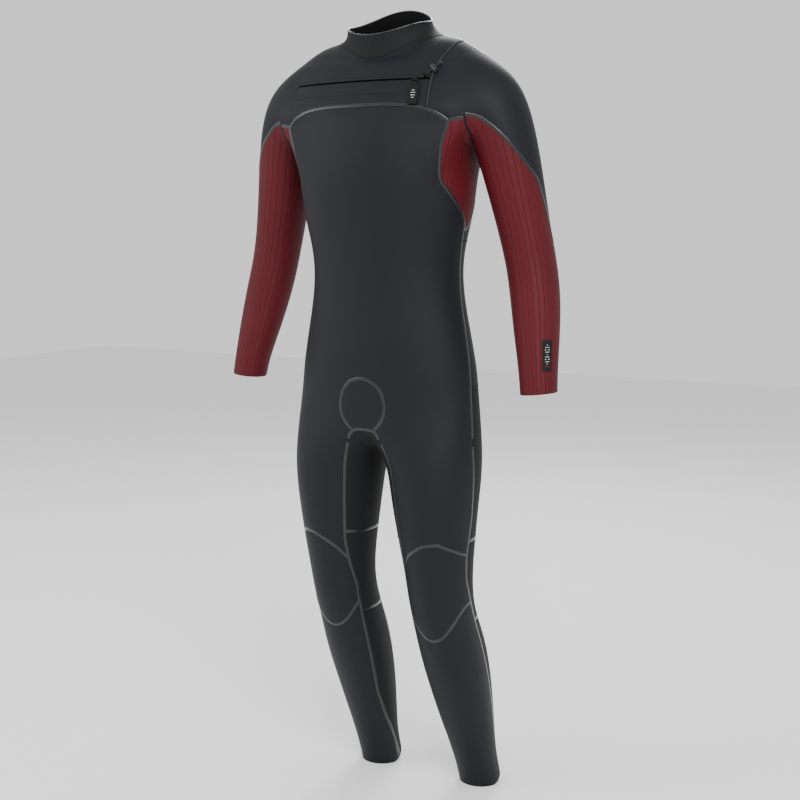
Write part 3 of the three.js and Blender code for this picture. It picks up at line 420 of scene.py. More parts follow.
# %% [markdown]
# ## Finishes
# Each finish is a node group with its own named inputs. Nylon-lined neoprene is matt with a fine
# knit; the sleeves' and sides' cloth has lengthwise ribs; the sealed seams are glossy rubber.


# %% Node helpers
class Graph:
    """A node tree with short calls for adding and joining nodes."""

    def __init__(self, tree):
        self.tree = tree

    def add(self, kind, settings=None, **inputs):
        node = self.tree.nodes.new(kind)
        for key, value in (settings or {}).items():
            setattr(node, key, value)
        for key, value in inputs.items():
            self.feed(node.inputs[key.replace("_", " ")], value)
        return node

    def feed(self, socket, value):
        if isinstance(value, bpy.types.NodeSocket):
            self.tree.links.new(value, socket)
        else:
            socket.default_value = value

    def math(self, operation, *values):
        node = self.add("ShaderNodeMath", {"operation": operation})
        for socket, value in zip(node.inputs, values):
            self.feed(socket, value)
        return node.outputs[0]

    def mix(self, factor, a, b):
        node = self.add("ShaderNodeMix", {"data_type": "RGBA"})
        for identifier, value in (("Factor_Float", factor), ("A_Color", a), ("B_Color", b)):
            self.feed(next(s for s in node.inputs if s.identifier == identifier), value)
        return next(s for s in node.outputs if s.identifier == "Result_Color")


def linear(code):
    """Linear colour with alpha from a hex code."""
    parts = [int(code[i:i + 2], 16) / 255 for i in (1, 3, 5)]
    return tuple(c / 12.92 if c < 0.04045 else ((c + 0.055) / 1.055) ** 2.4 for c in parts) + (1.0,)


def group(name, inputs, outputs, build):
    tree = bpy.data.node_groups.new(name, "ShaderNodeTree")
    for label, kind, default in inputs:
        socket = tree.interface.new_socket(label, in_out="INPUT", socket_type=kind)
        if default is not None:
            socket.default_value = default
    for label, kind in outputs:
        tree.interface.new_socket(label, in_out="OUTPUT", socket_type=kind)
    entry = tree.nodes.new("NodeGroupInput")
    leave = tree.nodes.new("NodeGroupOutput")
    results = build(Graph(tree), entry.outputs)
    for (label, _), result in zip(outputs, results):
        tree.links.new(result, leave.inputs[label])
    return tree


COLOUR, FLOAT = "NodeSocketColor", "NodeSocketFloat"
CLOTH_OUT = [("Colour", COLOUR), ("Roughness", FLOAT), ("Height", FLOAT)]


def knit_nodes(g, entry):
    place = g.add("ShaderNodeTexCoord").outputs["Object"]
    broad = g.add("ShaderNodeTexNoise", Vector=place, Scale=9.0, Detail=3.0).outputs["Fac"]
    fine = g.add("ShaderNodeTexNoise", Vector=place, Scale=1400.0, Detail=2.0).outputs["Fac"]
    rumple = g.add("ShaderNodeTexNoise", Vector=place, Scale=55.0, Detail=2.0).outputs["Fac"]
    light = g.mix(g.math("MULTIPLY", broad, entry["Mottle"]), entry["Colour"], entry["Worn"])
    speck = g.math("MULTIPLY", g.math("SUBTRACT", fine, 0.5), 0.35)
    colour = g.mix(g.math("ADD", 0.2, speck), light, entry["Worn"])
    rough = g.math("ADD", entry["Roughness"], g.math("MULTIPLY", g.math("SUBTRACT", fine, 0.5), 0.2))
    height = g.math("ADD", g.math("MULTIPLY", fine, 0.35), g.math("MULTIPLY", rumple, entry["Rumple"]))
    return colour, rough, height


def rib_nodes(g, entry):
    uv = g.add("ShaderNodeUVMap", {"uv_map": "cloth"}).outputs["UV"]
    around = g.add("ShaderNodeSeparateXYZ", Vector=uv).outputs["X"]
    place = g.add("ShaderNodeTexCoord").outputs["Object"]
    wobble = g.math("MULTIPLY", g.add("ShaderNodeTexNoise", Vector=place, Scale=18.0).outputs["Fac"], 0.12)
    phase = g.math("FRACT", g.math("ADD", around, wobble))
    away = g.math("ABSOLUTE", g.math("SUBTRACT", phase, 0.5))
    groove = g.math("MINIMUM", g.math("DIVIDE", away, entry["Groove"]), 1.0)
    fine = g.add("ShaderNodeTexNoise", Vector=place, Scale=1100.0, Detail=2.0).outputs["Fac"]
    broad = g.add("ShaderNodeTexNoise", Vector=place, Scale=7.0, Detail=2.0).outputs["Fac"]
    light = g.mix(g.math("MULTIPLY", broad, 0.6), entry["Colour"], entry["Worn"])
    # painted shade: the grooves between the ribs are mixed towards the darkest colour, shade painted into the
    # recesses
    colour = g.mix(g.math("ADD", 0.45, g.math("MULTIPLY", groove, 0.55)), entry["Deep"], light)
    rough = g.math("ADD", entry["Roughness"], g.math("MULTIPLY", g.math("SUBTRACT", fine, 0.5), 0.2))
    return colour, rough, g.math("ADD", g.math("MULTIPLY", fine, 0.25), groove)


def plain_nodes(g, entry):
    place = g.add("ShaderNodeTexCoord").outputs["Object"]
    grain = g.add("ShaderNodeTexNoise", Vector=place, Scale=entry["Grain"], Detail=3.0).outputs["Fac"]
    colour = g.mix(grain, entry["Colour"], entry["Worn"])
    rough = g.math("ADD", entry["Roughness"], g.math("MULTIPLY", g.math("SUBTRACT", grain, 0.5), 0.15))
    return colour, rough, grain


KNIT = group("fine knit", [("Colour", COLOUR, None), ("Worn", COLOUR, None), ("Mottle", FLOAT, 0.5),
                           ("Roughness", FLOAT, 0.7), ("Rumple", FLOAT, 0.6)], CLOTH_OUT, knit_nodes)
RIBS = group("lengthwise ribs", [("Colour", COLOUR, None), ("Worn", COLOUR, None), ("Deep", COLOUR, None),
                                 ("Groove", FLOAT, 0.09), ("Roughness", FLOAT, 0.6)], CLOTH_OUT, rib_nodes)
MOULDED = group("moulded", [("Colour", COLOUR, None), ("Worn", COLOUR, None), ("Grain", FLOAT, 200.0),
                            ("Roughness", FLOAT, 0.4)], CLOTH_OUT, plain_nodes)


def finish(name, tree, bump, coat=0.0, **inputs):
    material = bpy.data.materials.new(name)
    material.use_nodes = True
    g = Graph(material.node_tree)
    shader = material.node_tree.nodes["Principled BSDF"]
    look = g.add("ShaderNodeGroup")
    look.node_tree = tree
    for key, value in inputs.items():
        look.inputs[key].default_value = linear(value) if isinstance(value, str) else value
    raised = g.add("ShaderNodeBump", Strength=0.6, Distance=bump, Height=look.outputs["Height"])
    g.feed(shader.inputs["Base Color"], look.outputs["Colour"])
    g.feed(shader.inputs["Roughness"], look.outputs["Roughness"])
    g.feed(shader.inputs["Normal"], raised.outputs["Normal"])
    shader.inputs["Coat Weight"].default_value = coat
    shader.inputs["Specular IOR Level"].default_value = 0.2
    shader.inputs["Coat Roughness"].default_value = 0.25
    return material


# %% The finishes
CHARCOAL = finish("charcoal neoprene", KNIT, 0.0005, Colour="#0b0c12", Worn="#13151c", Roughness=0.6)
DARK = finish("dark neoprene", KNIT, 0.0005, Colour="#090a0c", Worn="#111215", Roughness=0.7)
LINING = finish("dark plush lining", KNIT, 0.0009, Colour="#060607", Worn="#0e0e10", Roughness=0.95,
                Rumple=1.0)
# the maroon's darkest colour is painted shade for the grooves between the ribs
MAROON = finish("maroon ribbed neoprene", RIBS, 0.0012, Colour="#43040e", Worn="#560814", Deep="#190104")
SEALED = finish("grey sealed seam", MOULDED, 0.0003, coat=0.45, Colour="#111315", Worn="#1b1d1f", Grain=60.0,
                Roughness=0.34)
BINDING = finish("light binding", MOULDED, 0.0002, Colour="#1e2023", Worn="#303236", Grain=500.0,
                 Roughness=0.6)
# this dark finish serves as real thread and also paints shadow: the armpit crease line and the gap beside the
# shoulder opening's binding
THREAD_AND_SHADOW = finish("dark thread and painted shadow", MOULDED, 0.0001, Colour="#050506", Worn="#0d0e0f", Grain=900.0, Roughness=0.7)
TAPE = finish("zip tape", MOULDED, 0.0002, Colour="#060607", Worn="#0c0d0e", Grain=1300.0, Roughness=0.85)
PLASTIC = finish("black zip plastic", MOULDED, 0.0001, coat=0.2, Colour="#08090a", Worn="#0f1011",
                 Roughness=0.35)
RUBBER = finish("black moulded rubber", MOULDED, 0.0002, Colour="#060708", Worn="#0c0d0e", Grain=400.0,
                Roughness=0.5)
MARK = finish("pale printed mark", MOULDED, 0.0001, Colour="#b5b7b8", Worn="#cfd0d1", Roughness=0.5)
RED_MARK = finish("red printed mark", MOULDED, 0.0001, Colour="#7a1416", Worn="#8e1a1c", Roughness=0.5)
CORD_CLOTH = finish("braided cord", MOULDED, 0.0003, Colour="#0f1012", Worn="#2b2d30", Grain=700.0,
                    Roughness=0.8)
LOCK = finish("grey lock plastic", MOULDED, 0.0001, coat=0.2, Colour="#1c1e20", Worn="#27292b",
              Roughness=0.38)

# %% [markdown]
# ## The panels
# Each panel is a closed thin sheet: its outside, its lining and the cut edge between them. Edges dip
# by half a millimetre, because glued and sewn foam is pressed down at its seams.

# %% Panel builder
EDGE_DIP = 0.5
ARM_RIBS, TRUNK_RIBS = 28, 96
CHARCOAL_SLOT, DARK_SLOT, MAROON_SLOT = "charcoal_neoprene", "dark_neoprene", "maroon_neoprene"


def to_frame(points):
    return (np.asarray(points) - (0, NECK_BACKSET, NECK_HEIGHT)) / 1000


def add_object(name, mesh):
    thing = bpy.data.objects.new(name.replace(" ", "_"), mesh)
    bpy.context.scene.collection.objects.link(thing)
    return thing


def rib_phase(triangles, limb):
    """Ribs counted round the limb or trunk, at each triangle's corners."""
    p = skin.points
    angle = arm_angle(p) if limb == "arm" else trunk_angle(p)
    corners = angle[triangles]
    wide = np.ptp(corners, axis=1) > 180
    corners[wide] = np.where(corners[wide] < 0, corners[wide] + 360, corners[wide])
    return corners / 360 * (ARM_RIBS if limb == "arm" else TRUNK_RIBS)


def flush_edge(p):
    """True where a shoulder cap runs on smoothly from the trunk, with no seam to be seen."""
    return (abs(abs(p[:, 0]) - ARMHOLE_X) < 0.5) & (cap_field(p) > 0)


def sheet_mesh(name, triangles, thick, finishes, limb):
    used, local = np.unique(triangles, return_inverse=True)
    local = local.reshape(-1, 3)
    count = len(used)
    rim = directed_rim(local)
    outside = skin.points[used].copy()
    normals = skin.normals[used]
    inside = outside - normals * thick
    dipped = np.unique(rim)
    dipped = dipped[~flush_edge(outside[dipped])]
    outside[dipped] -= normals[dipped] * EDGE_DIP
    walls = np.column_stack([rim[:, 1], rim[:, 0], rim[:, 0] + count, rim[:, 1] + count])
    faces = local.tolist() + (local[:, ::-1] + count).tolist() + walls.tolist()
    mesh = bpy.data.meshes.new(name)
    mesh.from_pydata(to_frame(np.vstack([outside, inside])).tolist(), [], faces)
    phase = rib_phase(triangles, limb)
    along = skin.points[triangles, 2] / 1000
    cloth = np.stack([phase, along], axis=2)
    uv = np.concatenate([cloth.reshape(-1, 2), cloth[:, ::-1].reshape(-1, 2), np.zeros((4 * len(walls), 2))])
    mesh.uv_layers.new(name="cloth").data.foreach_set("uv", uv.ravel())
    for material in finishes:
        mesh.materials.append(material)
    mesh.polygons.foreach_set("material_index", [0] * len(local) + [1] * (len(local) + len(walls)))
    mesh.polygons.foreach_set("use_smooth", [True] * len(faces))
    mesh.set_sharp_from_angle(angle=math.radians(45))
    corners = skin.points[triangles] / 1000
    across = np.cross(corners[:, 1] - corners[:, 0], corners[:, 2] - corners[:, 0])
    area = np.linalg.norm(across, axis=1).sum() / 2
    return mesh, area


# %% What each panel is made of
# panel: triangles, finish, slot, thickness, limb; the collar is a millimetre thicker than the frame's
PANELS = {
    "collar": (collar, DARK, DARK_SLOT, BODY_THICKNESS, "trunk"),
    "neck yoke": (yoke, CHARCOAL, CHARCOAL_SLOT, BODY_THICKNESS, "trunk"),
    "zip flap": (flap, CHARCOAL, CHARCOAL_SLOT, BODY_THICKNESS, "trunk"),
    "left shoulder panel": (left_shoulder, CHARCOAL, CHARCOAL_SLOT, BODY_THICKNESS, "trunk"),
    "front body panel": (front, CHARCOAL, CHARCOAL_SLOT, BODY_THICKNESS, "trunk"),
    "crotch gusset": (gusset, CHARCOAL, CHARCOAL_SLOT, BODY_THICKNESS, "trunk"),
    "upper back panel": (upper_back, CHARCOAL, CHARCOAL_SLOT, BODY_THICKNESS, "trunk"),
    "lower back panel": (lower_back, CHARCOAL, CHARCOAL_SLOT, BODY_THICKNESS, "trunk"),
}
PAIRS = {
    "side panel": (sides, MAROON, MAROON_SLOT, BODY_THICKNESS, "trunk"),
    "inner thigh panel": (inner_thighs, DARK, DARK_SLOT, BODY_THICKNESS, "trunk"),
    "thigh back panel": (thigh_backs, DARK, DARK_SLOT, BODY_THICKNESS, "trunk"),
    "knee back panel": (knee_backs, DARK, DARK_SLOT, BODY_THICKNESS, "shin"),
    "calf panel": (calves, DARK, DARK_SLOT, BODY_THICKNESS, "shin"),
    "knee pad": (knee_pads, CHARCOAL, CHARCOAL_SLOT, BODY_THICKNESS, "shin"),
    "shin panel": (shins, CHARCOAL, CHARCOAL_SLOT, BODY_THICKNESS, "shin"),
    "arm cap": (caps, CHARCOAL, CHARCOAL_SLOT, SLEEVE_THICKNESS, "trunk"),
    "sleeve": (sleeves, MAROON, MAROON_SLOT, SLEEVE_THICKNESS, "arm"),
}
for title, (triangles, *kind) in PAIRS.items():
    PANELS[f"left {title}"] = (on_side(triangles, 1), *kind)
    PANELS[f"right {title}"] = (on_side(triangles, -1), *kind)

# limb: the body that bends, and where the bend starts and ends
BENDS = {
    "arm": ("forearm", (275, 18, 1045), (275, 18, 925)),
    "shin": ("shin", (105, 30, 470), (105, 30, 370)),
}


def settle(thing, side, limb):
    """Rides on the suit, or on a limb in BENDS only has its transform baked in."""
    if limb in BENDS:
        body, start, end = BENDS[limb]
        points = to_frame([start, end]) * ((1, 1, 1) if side == "left" else (-1, 1, 1))
        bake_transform(thing)
    else:
        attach(thing, "suit")


for title, (triangles, cloth, slot_name, thick, limb) in PANELS.items():
    mesh, area = sheet_mesh(title, triangles, thick, (cloth, LINING), limb)
    thing = add_object(f"{title} sheet", mesh)
    side = title.split()[0]
    settle(thing, side, limb)
    nodes = [title.replace(" ", "_")]
    if limb == "arm":
        nodes = [f"{side}_{part}_sleeve" for part in ("elbow", "forearm")] + [f"{side}_upper_sleeve"]
    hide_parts(*nodes)

# %% [markdown]
# ## Seams
# Sealed seams are a bead of liquid rubber run over the join. Geometry Nodes sweep a flattened
# profile along each seam line, standing on the cloth by the skin's own normal.

# %% Bead along a line
SEAM_WIDTH, SEAM_HEIGHT = 0.0064, 0.0014


def bead_tool():
    tree = bpy.data.node_groups.new("bead along a line", "GeometryNodeTree")
    tree.interface.new_socket("Line", in_out="INPUT", socket_type="NodeSocketGeometry")
    for label in ("Width", "Height"):
        tree.interface.new_socket(label, in_out="INPUT", socket_type="NodeSocketFloat")
    tree.interface.new_socket("Finish", in_out="INPUT", socket_type="NodeSocketMaterial")
    tree.interface.new_socket("Bead", in_out="OUTPUT", socket_type="NodeSocketGeometry")
    g = Graph(tree)
    entry, leave = tree.nodes.new("NodeGroupInput").outputs, tree.nodes.new("NodeGroupOutput")
    line = g.add("GeometryNodeMeshToCurve", Mesh=entry["Line"]).outputs[0]
    position = g.add("GeometryNodeInputPosition").outputs[0]
    smooth = g.add("GeometryNodeBlurAttribute", {"data_type": "FLOAT_VECTOR"}, Value=position,
                   Iterations=4).outputs[0]
    line = g.add("GeometryNodeSetPosition", Geometry=line, Position=smooth).outputs[0]
    stand = g.add("GeometryNodeInputNamedAttribute", {"data_type": "FLOAT_VECTOR"}, Name="stand").outputs[0]
    normal = g.add("GeometryNodeSetCurveNormal", {"mode": "FREE"}, Curve=line)
    tree.links.new(stand, normal.inputs["Normal"])
    circle = g.add("GeometryNodeCurvePrimitiveCircle", Resolution=12, Radius=0.5).outputs[0]
    scale = g.add("ShaderNodeCombineXYZ", X=entry["Height"], Y=entry["Width"], Z=1.0).outputs[0]
    profile = g.add("GeometryNodeTransform", Geometry=circle, Scale=scale).outputs[0]
    swept = g.add("GeometryNodeCurveToMesh", Curve=normal.outputs[0], Profile_Curve=profile)
    swept.inputs["Fill Caps"].default_value = True
    smooth_bead = g.add("GeometryNodeSetShadeSmooth", Geometry=swept.outputs[0]).outputs[0]
    real = g.add("GeometryNodeRealizeInstances", Geometry=smooth_bead).outputs[0]
    painted = g.add("GeometryNodeSetMaterial", Geometry=real, Material=entry["Finish"]).outputs[0]
    tree.links.new(painted, leave.inputs["Bead"])
    return tree


BEAD = bead_tool()


def stitch_tool():
    tree = bpy.data.node_groups.new("stitches along a line", "GeometryNodeTree")
    tree.interface.new_socket("Line", in_out="INPUT", socket_type="NodeSocketGeometry")
    for label in ("Spacing", "Length", "Thickness"):
        tree.interface.new_socket(label, in_out="INPUT", socket_type="NodeSocketFloat")
    tree.interface.new_socket("Finish", in_out="INPUT", socket_type="NodeSocketMaterial")
    tree.interface.new_socket("Stitches", in_out="OUTPUT", socket_type="NodeSocketGeometry")
    g = Graph(tree)
    entry, leave = tree.nodes.new("NodeGroupInput").outputs, tree.nodes.new("NodeGroupOutput")
    line = g.add("GeometryNodeMeshToCurve", Mesh=entry["Line"]).outputs[0]
    even = g.add("GeometryNodeResampleCurve", Curve=line)
    if "Mode" in even.inputs:
        even.inputs["Mode"].default_value = "Length"
    else:
        even.mode = "LENGTH"
    tree.links.new(entry["Spacing"], even.inputs["Length"])
    tangent = g.add("GeometryNodeInputTangent").outputs[0]
    turn = g.add("FunctionNodeAlignRotationToVector", {"axis": "Z"}, Vector=tangent).outputs[0]
    ball = g.add("GeometryNodeMeshUVSphere", Segments=6, Rings=5, Radius=0.5).outputs[0]
    scale = g.add("ShaderNodeCombineXYZ", X=entry["Thickness"], Y=entry["Thickness"],
                  Z=entry["Length"]).outputs[0]
    thread = g.add("GeometryNodeTransform", Geometry=ball, Scale=scale).outputs[0]
    row = g.add("GeometryNodeInstanceOnPoints", Points=even.outputs[0], Instance=thread,
                Rotation=turn).outputs[0]
    real = g.add("GeometryNodeRealizeInstances", Geometry=row).outputs[0]
    painted = g.add("GeometryNodeSetMaterial", Geometry=real, Material=entry["Finish"]).outputs[0]
    tree.links.new(painted, leave.inputs["Stitches"])
    return tree


STITCHES = stitch_tool()


def bake(thing, tree, **inputs):
    """Runs a Geometry Nodes tool once and keeps the mesh that it makes."""
    modifier = thing.modifiers.new(tree.name, "NODES")
    modifier.node_group = tree
    sockets = {s.name: s.identifier for s in tree.interface.items_tree if s.in_out == "INPUT"}
    for label, value in inputs.items():
        modifier[sockets[label.replace("_", " ")]] = value
    depsgraph = bpy.context.evaluated_depsgraph_get()
    depsgraph.update()
    made = bpy.data.meshes.new_from_object(thing.evaluated_get(depsgraph))
    thing.modifiers.clear()
    thing.data = made
    return thing


def line_object(name, pairs, lift=0.0):
    used, local = np.unique(np.array(pairs), return_inverse=True)
    mesh = bpy.data.meshes.new(name)
    raised = skin.points[used] + skin.normals[used] * lift
    mesh.from_pydata(to_frame(raised).tolist(), local.reshape(-1, 2).tolist(), [])
    stand = mesh.attributes.new("stand", "FLOAT_VECTOR", "POINT")
    stand.data.foreach_set("vector", skin.normals[used].ravel())
    return add_object(name, mesh)


def stitches(name, pairs, spacing=0.0036, lift=0.1):
    thing = bake(line_object(name, pairs, lift), STITCHES, Spacing=spacing, Length=0.0026, Thickness=0.0007,
                 Finish=THREAD_AND_SHADOW)
    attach(thing, "suit")
    print(f"{name}: {len(thing.data.polygons)} faces")
    return thing


def bead(name, pairs, side, limb, width=SEAM_WIDTH, height=SEAM_HEIGHT, look=None):
    thing = bake(line_object(name, pairs), BEAD, Width=width, Height=height, Finish=look or SEALED)
    settle(thing, side, limb)
    print(f"{name}: {len(thing.data.polygons)} faces")
    return thing


def pairs_where(names, test):
    pairs = np.array([pair for name in names for pair in seams[name]])
    middle = skin.points[pairs].mean(1)
    return pairs[test(middle)]


ALL_SEALED = ["cap", "side", "inner_leg", "knee_top", "knee_low", "knee_back", "calf", "gusset", "chest",
              "back"]
LEG_SEAM_TOP, OUTER_ARM_TOP = 700, 1052


def on_outer_arm(p):
    return (p[:, 2] < OUTER_ARM_TOP) & (abs(arm_angle(p) - OUTER_ARM) < 60)


bead("trunk seams", pairs_where(ALL_SEALED, lambda p: p[:, 2] >= LEG_SEAM_TOP), "", "trunk")
# painted shade: this dark bead along the armhole under the arm paints the shadow of the armpit crease over
# the seam
bead("armhole seam crease shadow", pairs_where(["armhole"], lambda p: cap_field(p) < 0), "", "trunk",
     0.004, 0.001, THREAD_AND_SHADOW)
for side, sign in (("left", 1), ("right", -1)):
    leg_pairs = pairs_where(ALL_SEALED, lambda p: (p[:, 2] < LEG_SEAM_TOP) & (sign * p[:, 0] > 0))
    bead(f"{side} leg seams", leg_pairs, side, "shin")
    arm_pairs = pairs_where(["outer_arm"], lambda p: (sign * p[:, 0] > 0) & on_outer_arm(p))
    bead(f"{side} outer arm seam", arm_pairs, side, "arm", 0.0045, 0.001)
# painted shadow: this wide dark bead beneath the binding paints the shadow gap on each side of the shoulder
# opening's raised edge
bead("shoulder opening gap shadow", seams["opening"], "", "trunk", 0.0075, 0.0011, THREAD_AND_SHADOW)
bead("shoulder opening binding", seams["opening"], "", "trunk", 0.0028, 0.0026, BINDING)
bead("back seams", seams["waist"] + seams["seat"], "", "trunk", 0.0045, 0.0011, THREAD_AND_SHADOW)
bead("neck seam", seams["neck"], "", "trunk", 0.0035, 0.0014, THREAD_AND_SHADOW)
collar_rim = directed_rim(collar)
collar_top = collar_rim[neck_field(skin.points[collar_rim].mean(1)) > 8]
bead("collar rim", collar_top, "", "trunk", 0.0028, 0.0028, SEALED)
stitches("flap stitches", seams["flap_stitch"])
yoke_pairs = pairs_where(["yoke_stitch"], lambda p: (p[:, 0] > FLAP_END) & (p[:, 1] < 0))
stitches("yoke stitches", yoke_pairs)

# %% [markdown]
# ## Zip tapes, dam and drawcord
# Under the slot, two woven tapes carry the teeth and a neoprene dam keeps water out. Each is a strip
# swept round the cone in the zip's own frame: u along the zip, v up the cone and w out of it.

# %% The zip's own frame and strips
ZIP_TILT = math.atan(ZIP_SLOPE)


def zip_frame(degrees):
    """u, v, w and the origin on the zip's line, at an angle round the cone."""
    c, s = math.cos(math.radians(degrees)), math.sin(math.radians(degrees))
    ct, st = math.cos(ZIP_TILT), math.sin(ZIP_TILT)
    origin = np.array([ZIP_RADIUS * s, ZIP_AXIS_Y - ZIP_RADIUS * c, ZIP_HEIGHT])
    return np.array([c, s, 0]), np.array([-s * st, c * st, ct]), np.array([s * ct, -c * ct, st]), origin


def swept_faces(steps, sides):
    """Side faces of a profile swept along steps, and its two end caps."""
    faces = []
    for i in range(steps):
        for k in range(sides):
            this, following = i * sides + k, i * sides + (k + 1) % sides
            faces.append((this, following, following + sides, this + sides))
    return faces + [tuple(range(sides))[::-1], tuple(steps * sides + k for k in range(sides))]


def strip(name, profile, start, end, look, node, steps=80):
    rings = []
    for degrees in np.linspace(start, end, steps + 1):
        _, v, w, origin = zip_frame(degrees)
        rings.append([origin + v * a + w * b for a, b in profile])
    faces = swept_faces(steps, len(profile))
    mesh = bpy.data.meshes.new(name)
    mesh.from_pydata(to_frame(np.concatenate(rings)).tolist(), [], faces)
    mesh.materials.append(look)
    thing = add_object(name, mesh)
    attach(thing, "suit")
    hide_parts(node)
    return thing


TAPE_PROFILE = [(4.0, -7.0), (14.5, -7.0), (14.5, -5.2), (11.0, -5.2), (10.5, -6.2), (4.0, -6.2)]
DAM_PROFILE = [(-20, -11.6), (21, -11.6), (21, -9.0), (15.5, -9.0), (15.0, -9.4), (-20, -9.4)]
TAPE_START, TAPE_END = -19.0, 14.4
upper_tape = strip("upper tape", TAPE_PROFILE, TAPE_START, TAPE_END, TAPE, "zip_tape_upper")
LOWER_PROFILE = [(-a, b) for a, b in TAPE_PROFILE[::-1]]
lower_tape = strip("lower tape", LOWER_PROFILE, TAPE_START, TAPE_END, TAPE, "zip_tape_lower")
dam = strip("water dam", DAM_PROFILE, -19.6, 15.0, DARK, "zip_dam")

# %% Drawcord
CORD_ANGLE, CORD_RISE, CORD_HEIGHT, CORD_RADIUS = 14.6, math.radians(41), 5.2, 1.25
CORD_START, CORD_END = -4.5, 34.0
CORD_POINTS, CORD_SIDES = 40, 16
u, v, w, origin = zip_frame(CORD_ANGLE)
cord_way = u * math.cos(CORD_RISE) + v * math.sin(CORD_RISE)
cord_side = np.cross(w, cord_way)
cord_origin = origin + v * 3 + w * CORD_HEIGHT
cord_path = [cord_origin + cord_way * d for d in np.linspace(CORD_START, CORD_END, CORD_POINTS)]
rings = [p + CORD_RADIUS * (math.cos(t) * cord_side + math.sin(t) * w)
         for p in cord_path for t in np.linspace(0, 2 * math.pi, CORD_SIDES, endpoint=False)]
faces = swept_faces(CORD_POINTS - 1, CORD_SIDES)
mesh = bpy.data.meshes.new("neck cord")
mesh.from_pydata(to_frame(rings).tolist(), [], faces)
mesh.polygons.foreach_set("use_smooth", [True] * len(faces))
mesh.materials.append(CORD_CLOTH)
neck_cord = add_object("neck cord", mesh)
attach(neck_cord, "suit")
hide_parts("drawcord")
cord_points = to_frame(cord_path).tolist()

# %% [markdown]
# ## Fittings
# The slider, puller, teeth, cord lock, cord loop, cord knot and label keep the frame's shape and get
# their finishes here.

# %% Finish the fittings
FITTINGS = {
    "zip_teeth_upper": PLASTIC, "zip_teeth_lower": PLASTIC, "zip_stop_left": PLASTIC,
    "zip_stop_right": PLASTIC, "zip_slider": PLASTIC, "puller_link": PLASTIC, "pull_tab": RUBBER,
    "cord_lock_body": LOCK, "cord_lock_button": LOCK, "cord_end_bead": LOCK, "cord_loop": TAPE,
    "cord_knot": CORD_CLOTH, "sleeve_label": RUBBER,
}
for name, look in FITTINGS.items():
    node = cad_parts[name]
    node.data.materials.clear()
    node.data.materials.append(look)

# %% [markdown]
# The pull tab and the forearm label carry plain raised bars and dashes, which are no writing and no
# maker's mark.

# %% Bars on the tab and dashes on the label
def small_block(centre, across, up, out, size):
    """Eight corners and six faces of a small block with its own axes."""
    corners = [centre + across * (a * size[0] / 2) + up * (b * size[1] / 2) + out * (c * size[2])
               for c in (0, 1) for b in (-1, 1) for a in (-1, 1)]
    return corners, [(0, 2, 3, 1), (4, 5, 7, 6), (0, 1, 5, 4), (2, 6, 7, 3), (0, 4, 6, 2), (1, 3, 7, 5)]


def blocks_object(name, blocks, look, body):
    points, faces = [], []
    for corners, sides in blocks:
        faces += [tuple(len(points) + i for i in side) for side in sides]
        points += corners
    mesh = bpy.data.meshes.new(name)
    mesh.from_pydata(to_frame(points).tolist(), [], faces)
    mesh.materials.append(look)
    thing = add_object(name, mesh)
    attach(thing, body)
    return thing


SLIDER_PARK, PIN_HEIGHT, TAB_HALF, TAB_MIDDLE = 12.5, 2.6, 1.3, -31.45
u, v, w, origin = zip_frame(SLIDER_PARK)
tab_face = origin + w * (PIN_HEIGHT + TAB_HALF - 0.05)
bars = [small_block(tab_face + v * (TAB_MIDDLE + step), u, v, w, (wide, 0.8, 0.25))
        for step, wide in ((7.0, 5.0), (2.4, 8.0), (-2.4, 8.0), (-7.0, 5.0))]
blocks_object("tab bars", bars, MARK, "puller")

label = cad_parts["sleeve_label"]
dashes = {"pale": [], "red": []}
for row, z in enumerate(range(846, 884, 4)):
    centre = np.array([np.interp(z, ARM_BY_HEIGHT[:, 2], ARM_BY_HEIGHT[:, k]) for k in (0, 1)] + [z])
    for column, degrees in enumerate((-45.5, -41, -36.5)):
        if (row * 3 + column * 2) % 4 == 3:
            continue
        t = math.radians(degrees)
        out = np.array([math.cos(t), math.sin(t), 0])
        hit, place, facing, _ = label.ray_cast(to_frame(centre + out * 90).tolist(), (-out).tolist())
        if hit:
            spot = np.array(place) * 1000 + (0, NECK_BACKSET, NECK_HEIGHT)
            facing = np.array(facing)
            across = np.cross((0, 0, 1), facing)
            up = np.cross(facing, across)
            size = (2.4 if (row + column) % 2 else 1.5, 1.1, 0.12)
            kind = "red" if row == 0 else "pale"
            dashes[kind].append(small_block(spot - facing * 0.03, across, up, facing, size))
blocks_object("label dashes", dashes["pale"], MARK, "left_forearm")
blocks_object("label red dashes", dashes["red"], RED_MARK, "left_forearm")
print("dashes on the label:", {kind: len(blocks) for kind, blocks in dashes.items()})

# %% [markdown]
# ## Floor, light and camera

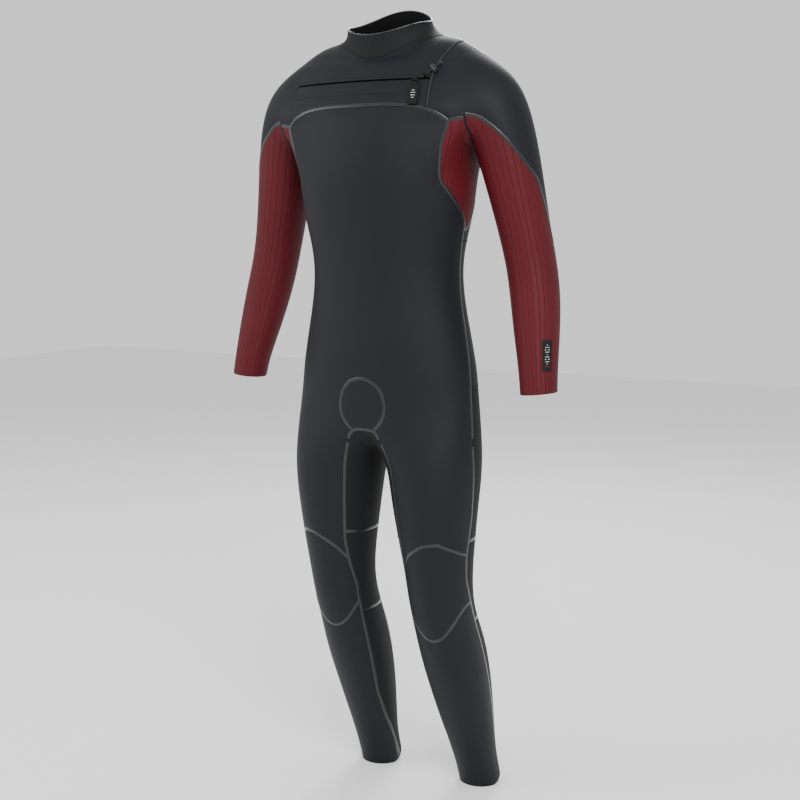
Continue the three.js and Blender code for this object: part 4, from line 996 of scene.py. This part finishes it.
# %% Stage
def add_plane(name, size, height):
    half = size / 2
    mesh = bpy.data.meshes.new(name)
    corners = [(x * half, y * half, height) for x, y in ((-1, -1), (1, -1), (1, 1), (-1, 1))]
    mesh.from_pydata(corners, [], [(0, 1, 2, 3)])
    return add_object(name, mesh)


def add_light(name, place, target, size, power):
    light = bpy.data.lights.new(name, "AREA")
    light.size = size
    light.energy = power
    lamp = add_object(name, light)
    lamp.location = place
    direction = np.array(target) - place
    lamp.rotation_euler = (math.atan2(math.hypot(direction[0], direction[1]), -direction[2]), 0,
                           math.atan2(-direction[0], direction[1]))
    return lamp


floor = add_plane("pale floor", 14, -NECK_HEIGHT / 1000 - 0.004)
pale = bpy.data.materials.new("pale floor")
pale.use_nodes = True
pale.node_tree.nodes["Principled BSDF"].inputs["Base Color"].default_value = (0.86, 0.86, 0.86, 1)
pale.node_tree.nodes["Principled BSDF"].inputs["Roughness"].default_value = 0.9
floor.data.materials.append(pale)
TARGET = (0.0, -0.016, -0.635)
add_light("key light", (2.2, -2.4, 1.3), TARGET, 1.6, 130)
add_light("fill light", (-2.6, -2.0, 0.6), TARGET, 2.4, 55)
add_light("rim light", (-0.8, 2.6, 1.6), TARGET, 1.5, 80)
world = bpy.data.worlds.new("studio")
world.use_nodes = True
world.node_tree.nodes["Background"].inputs["Color"].default_value = (1, 1, 1, 1)
world.node_tree.nodes["Background"].inputs["Strength"].default_value = 1.0
bpy.context.scene.world = world

# %% Camera
AZIMUTH, ELEVATION, DISTANCE = math.radians(30), math.radians(7.5), 2.45
camera = bpy.data.cameras.new("camera")
camera.lens = 60
camera.shift_x = 0.016
eye = add_object("camera", camera)
eye.location = (TARGET[0] + DISTANCE * math.sin(AZIMUTH) * math.cos(ELEVATION),
                TARGET[1] - DISTANCE * math.cos(AZIMUTH) * math.cos(ELEVATION),
                TARGET[2] + DISTANCE * math.sin(ELEVATION))
eye.rotation_euler = (math.pi / 2 - ELEVATION, 0, AZIMUTH)
bpy.context.scene.camera = eye
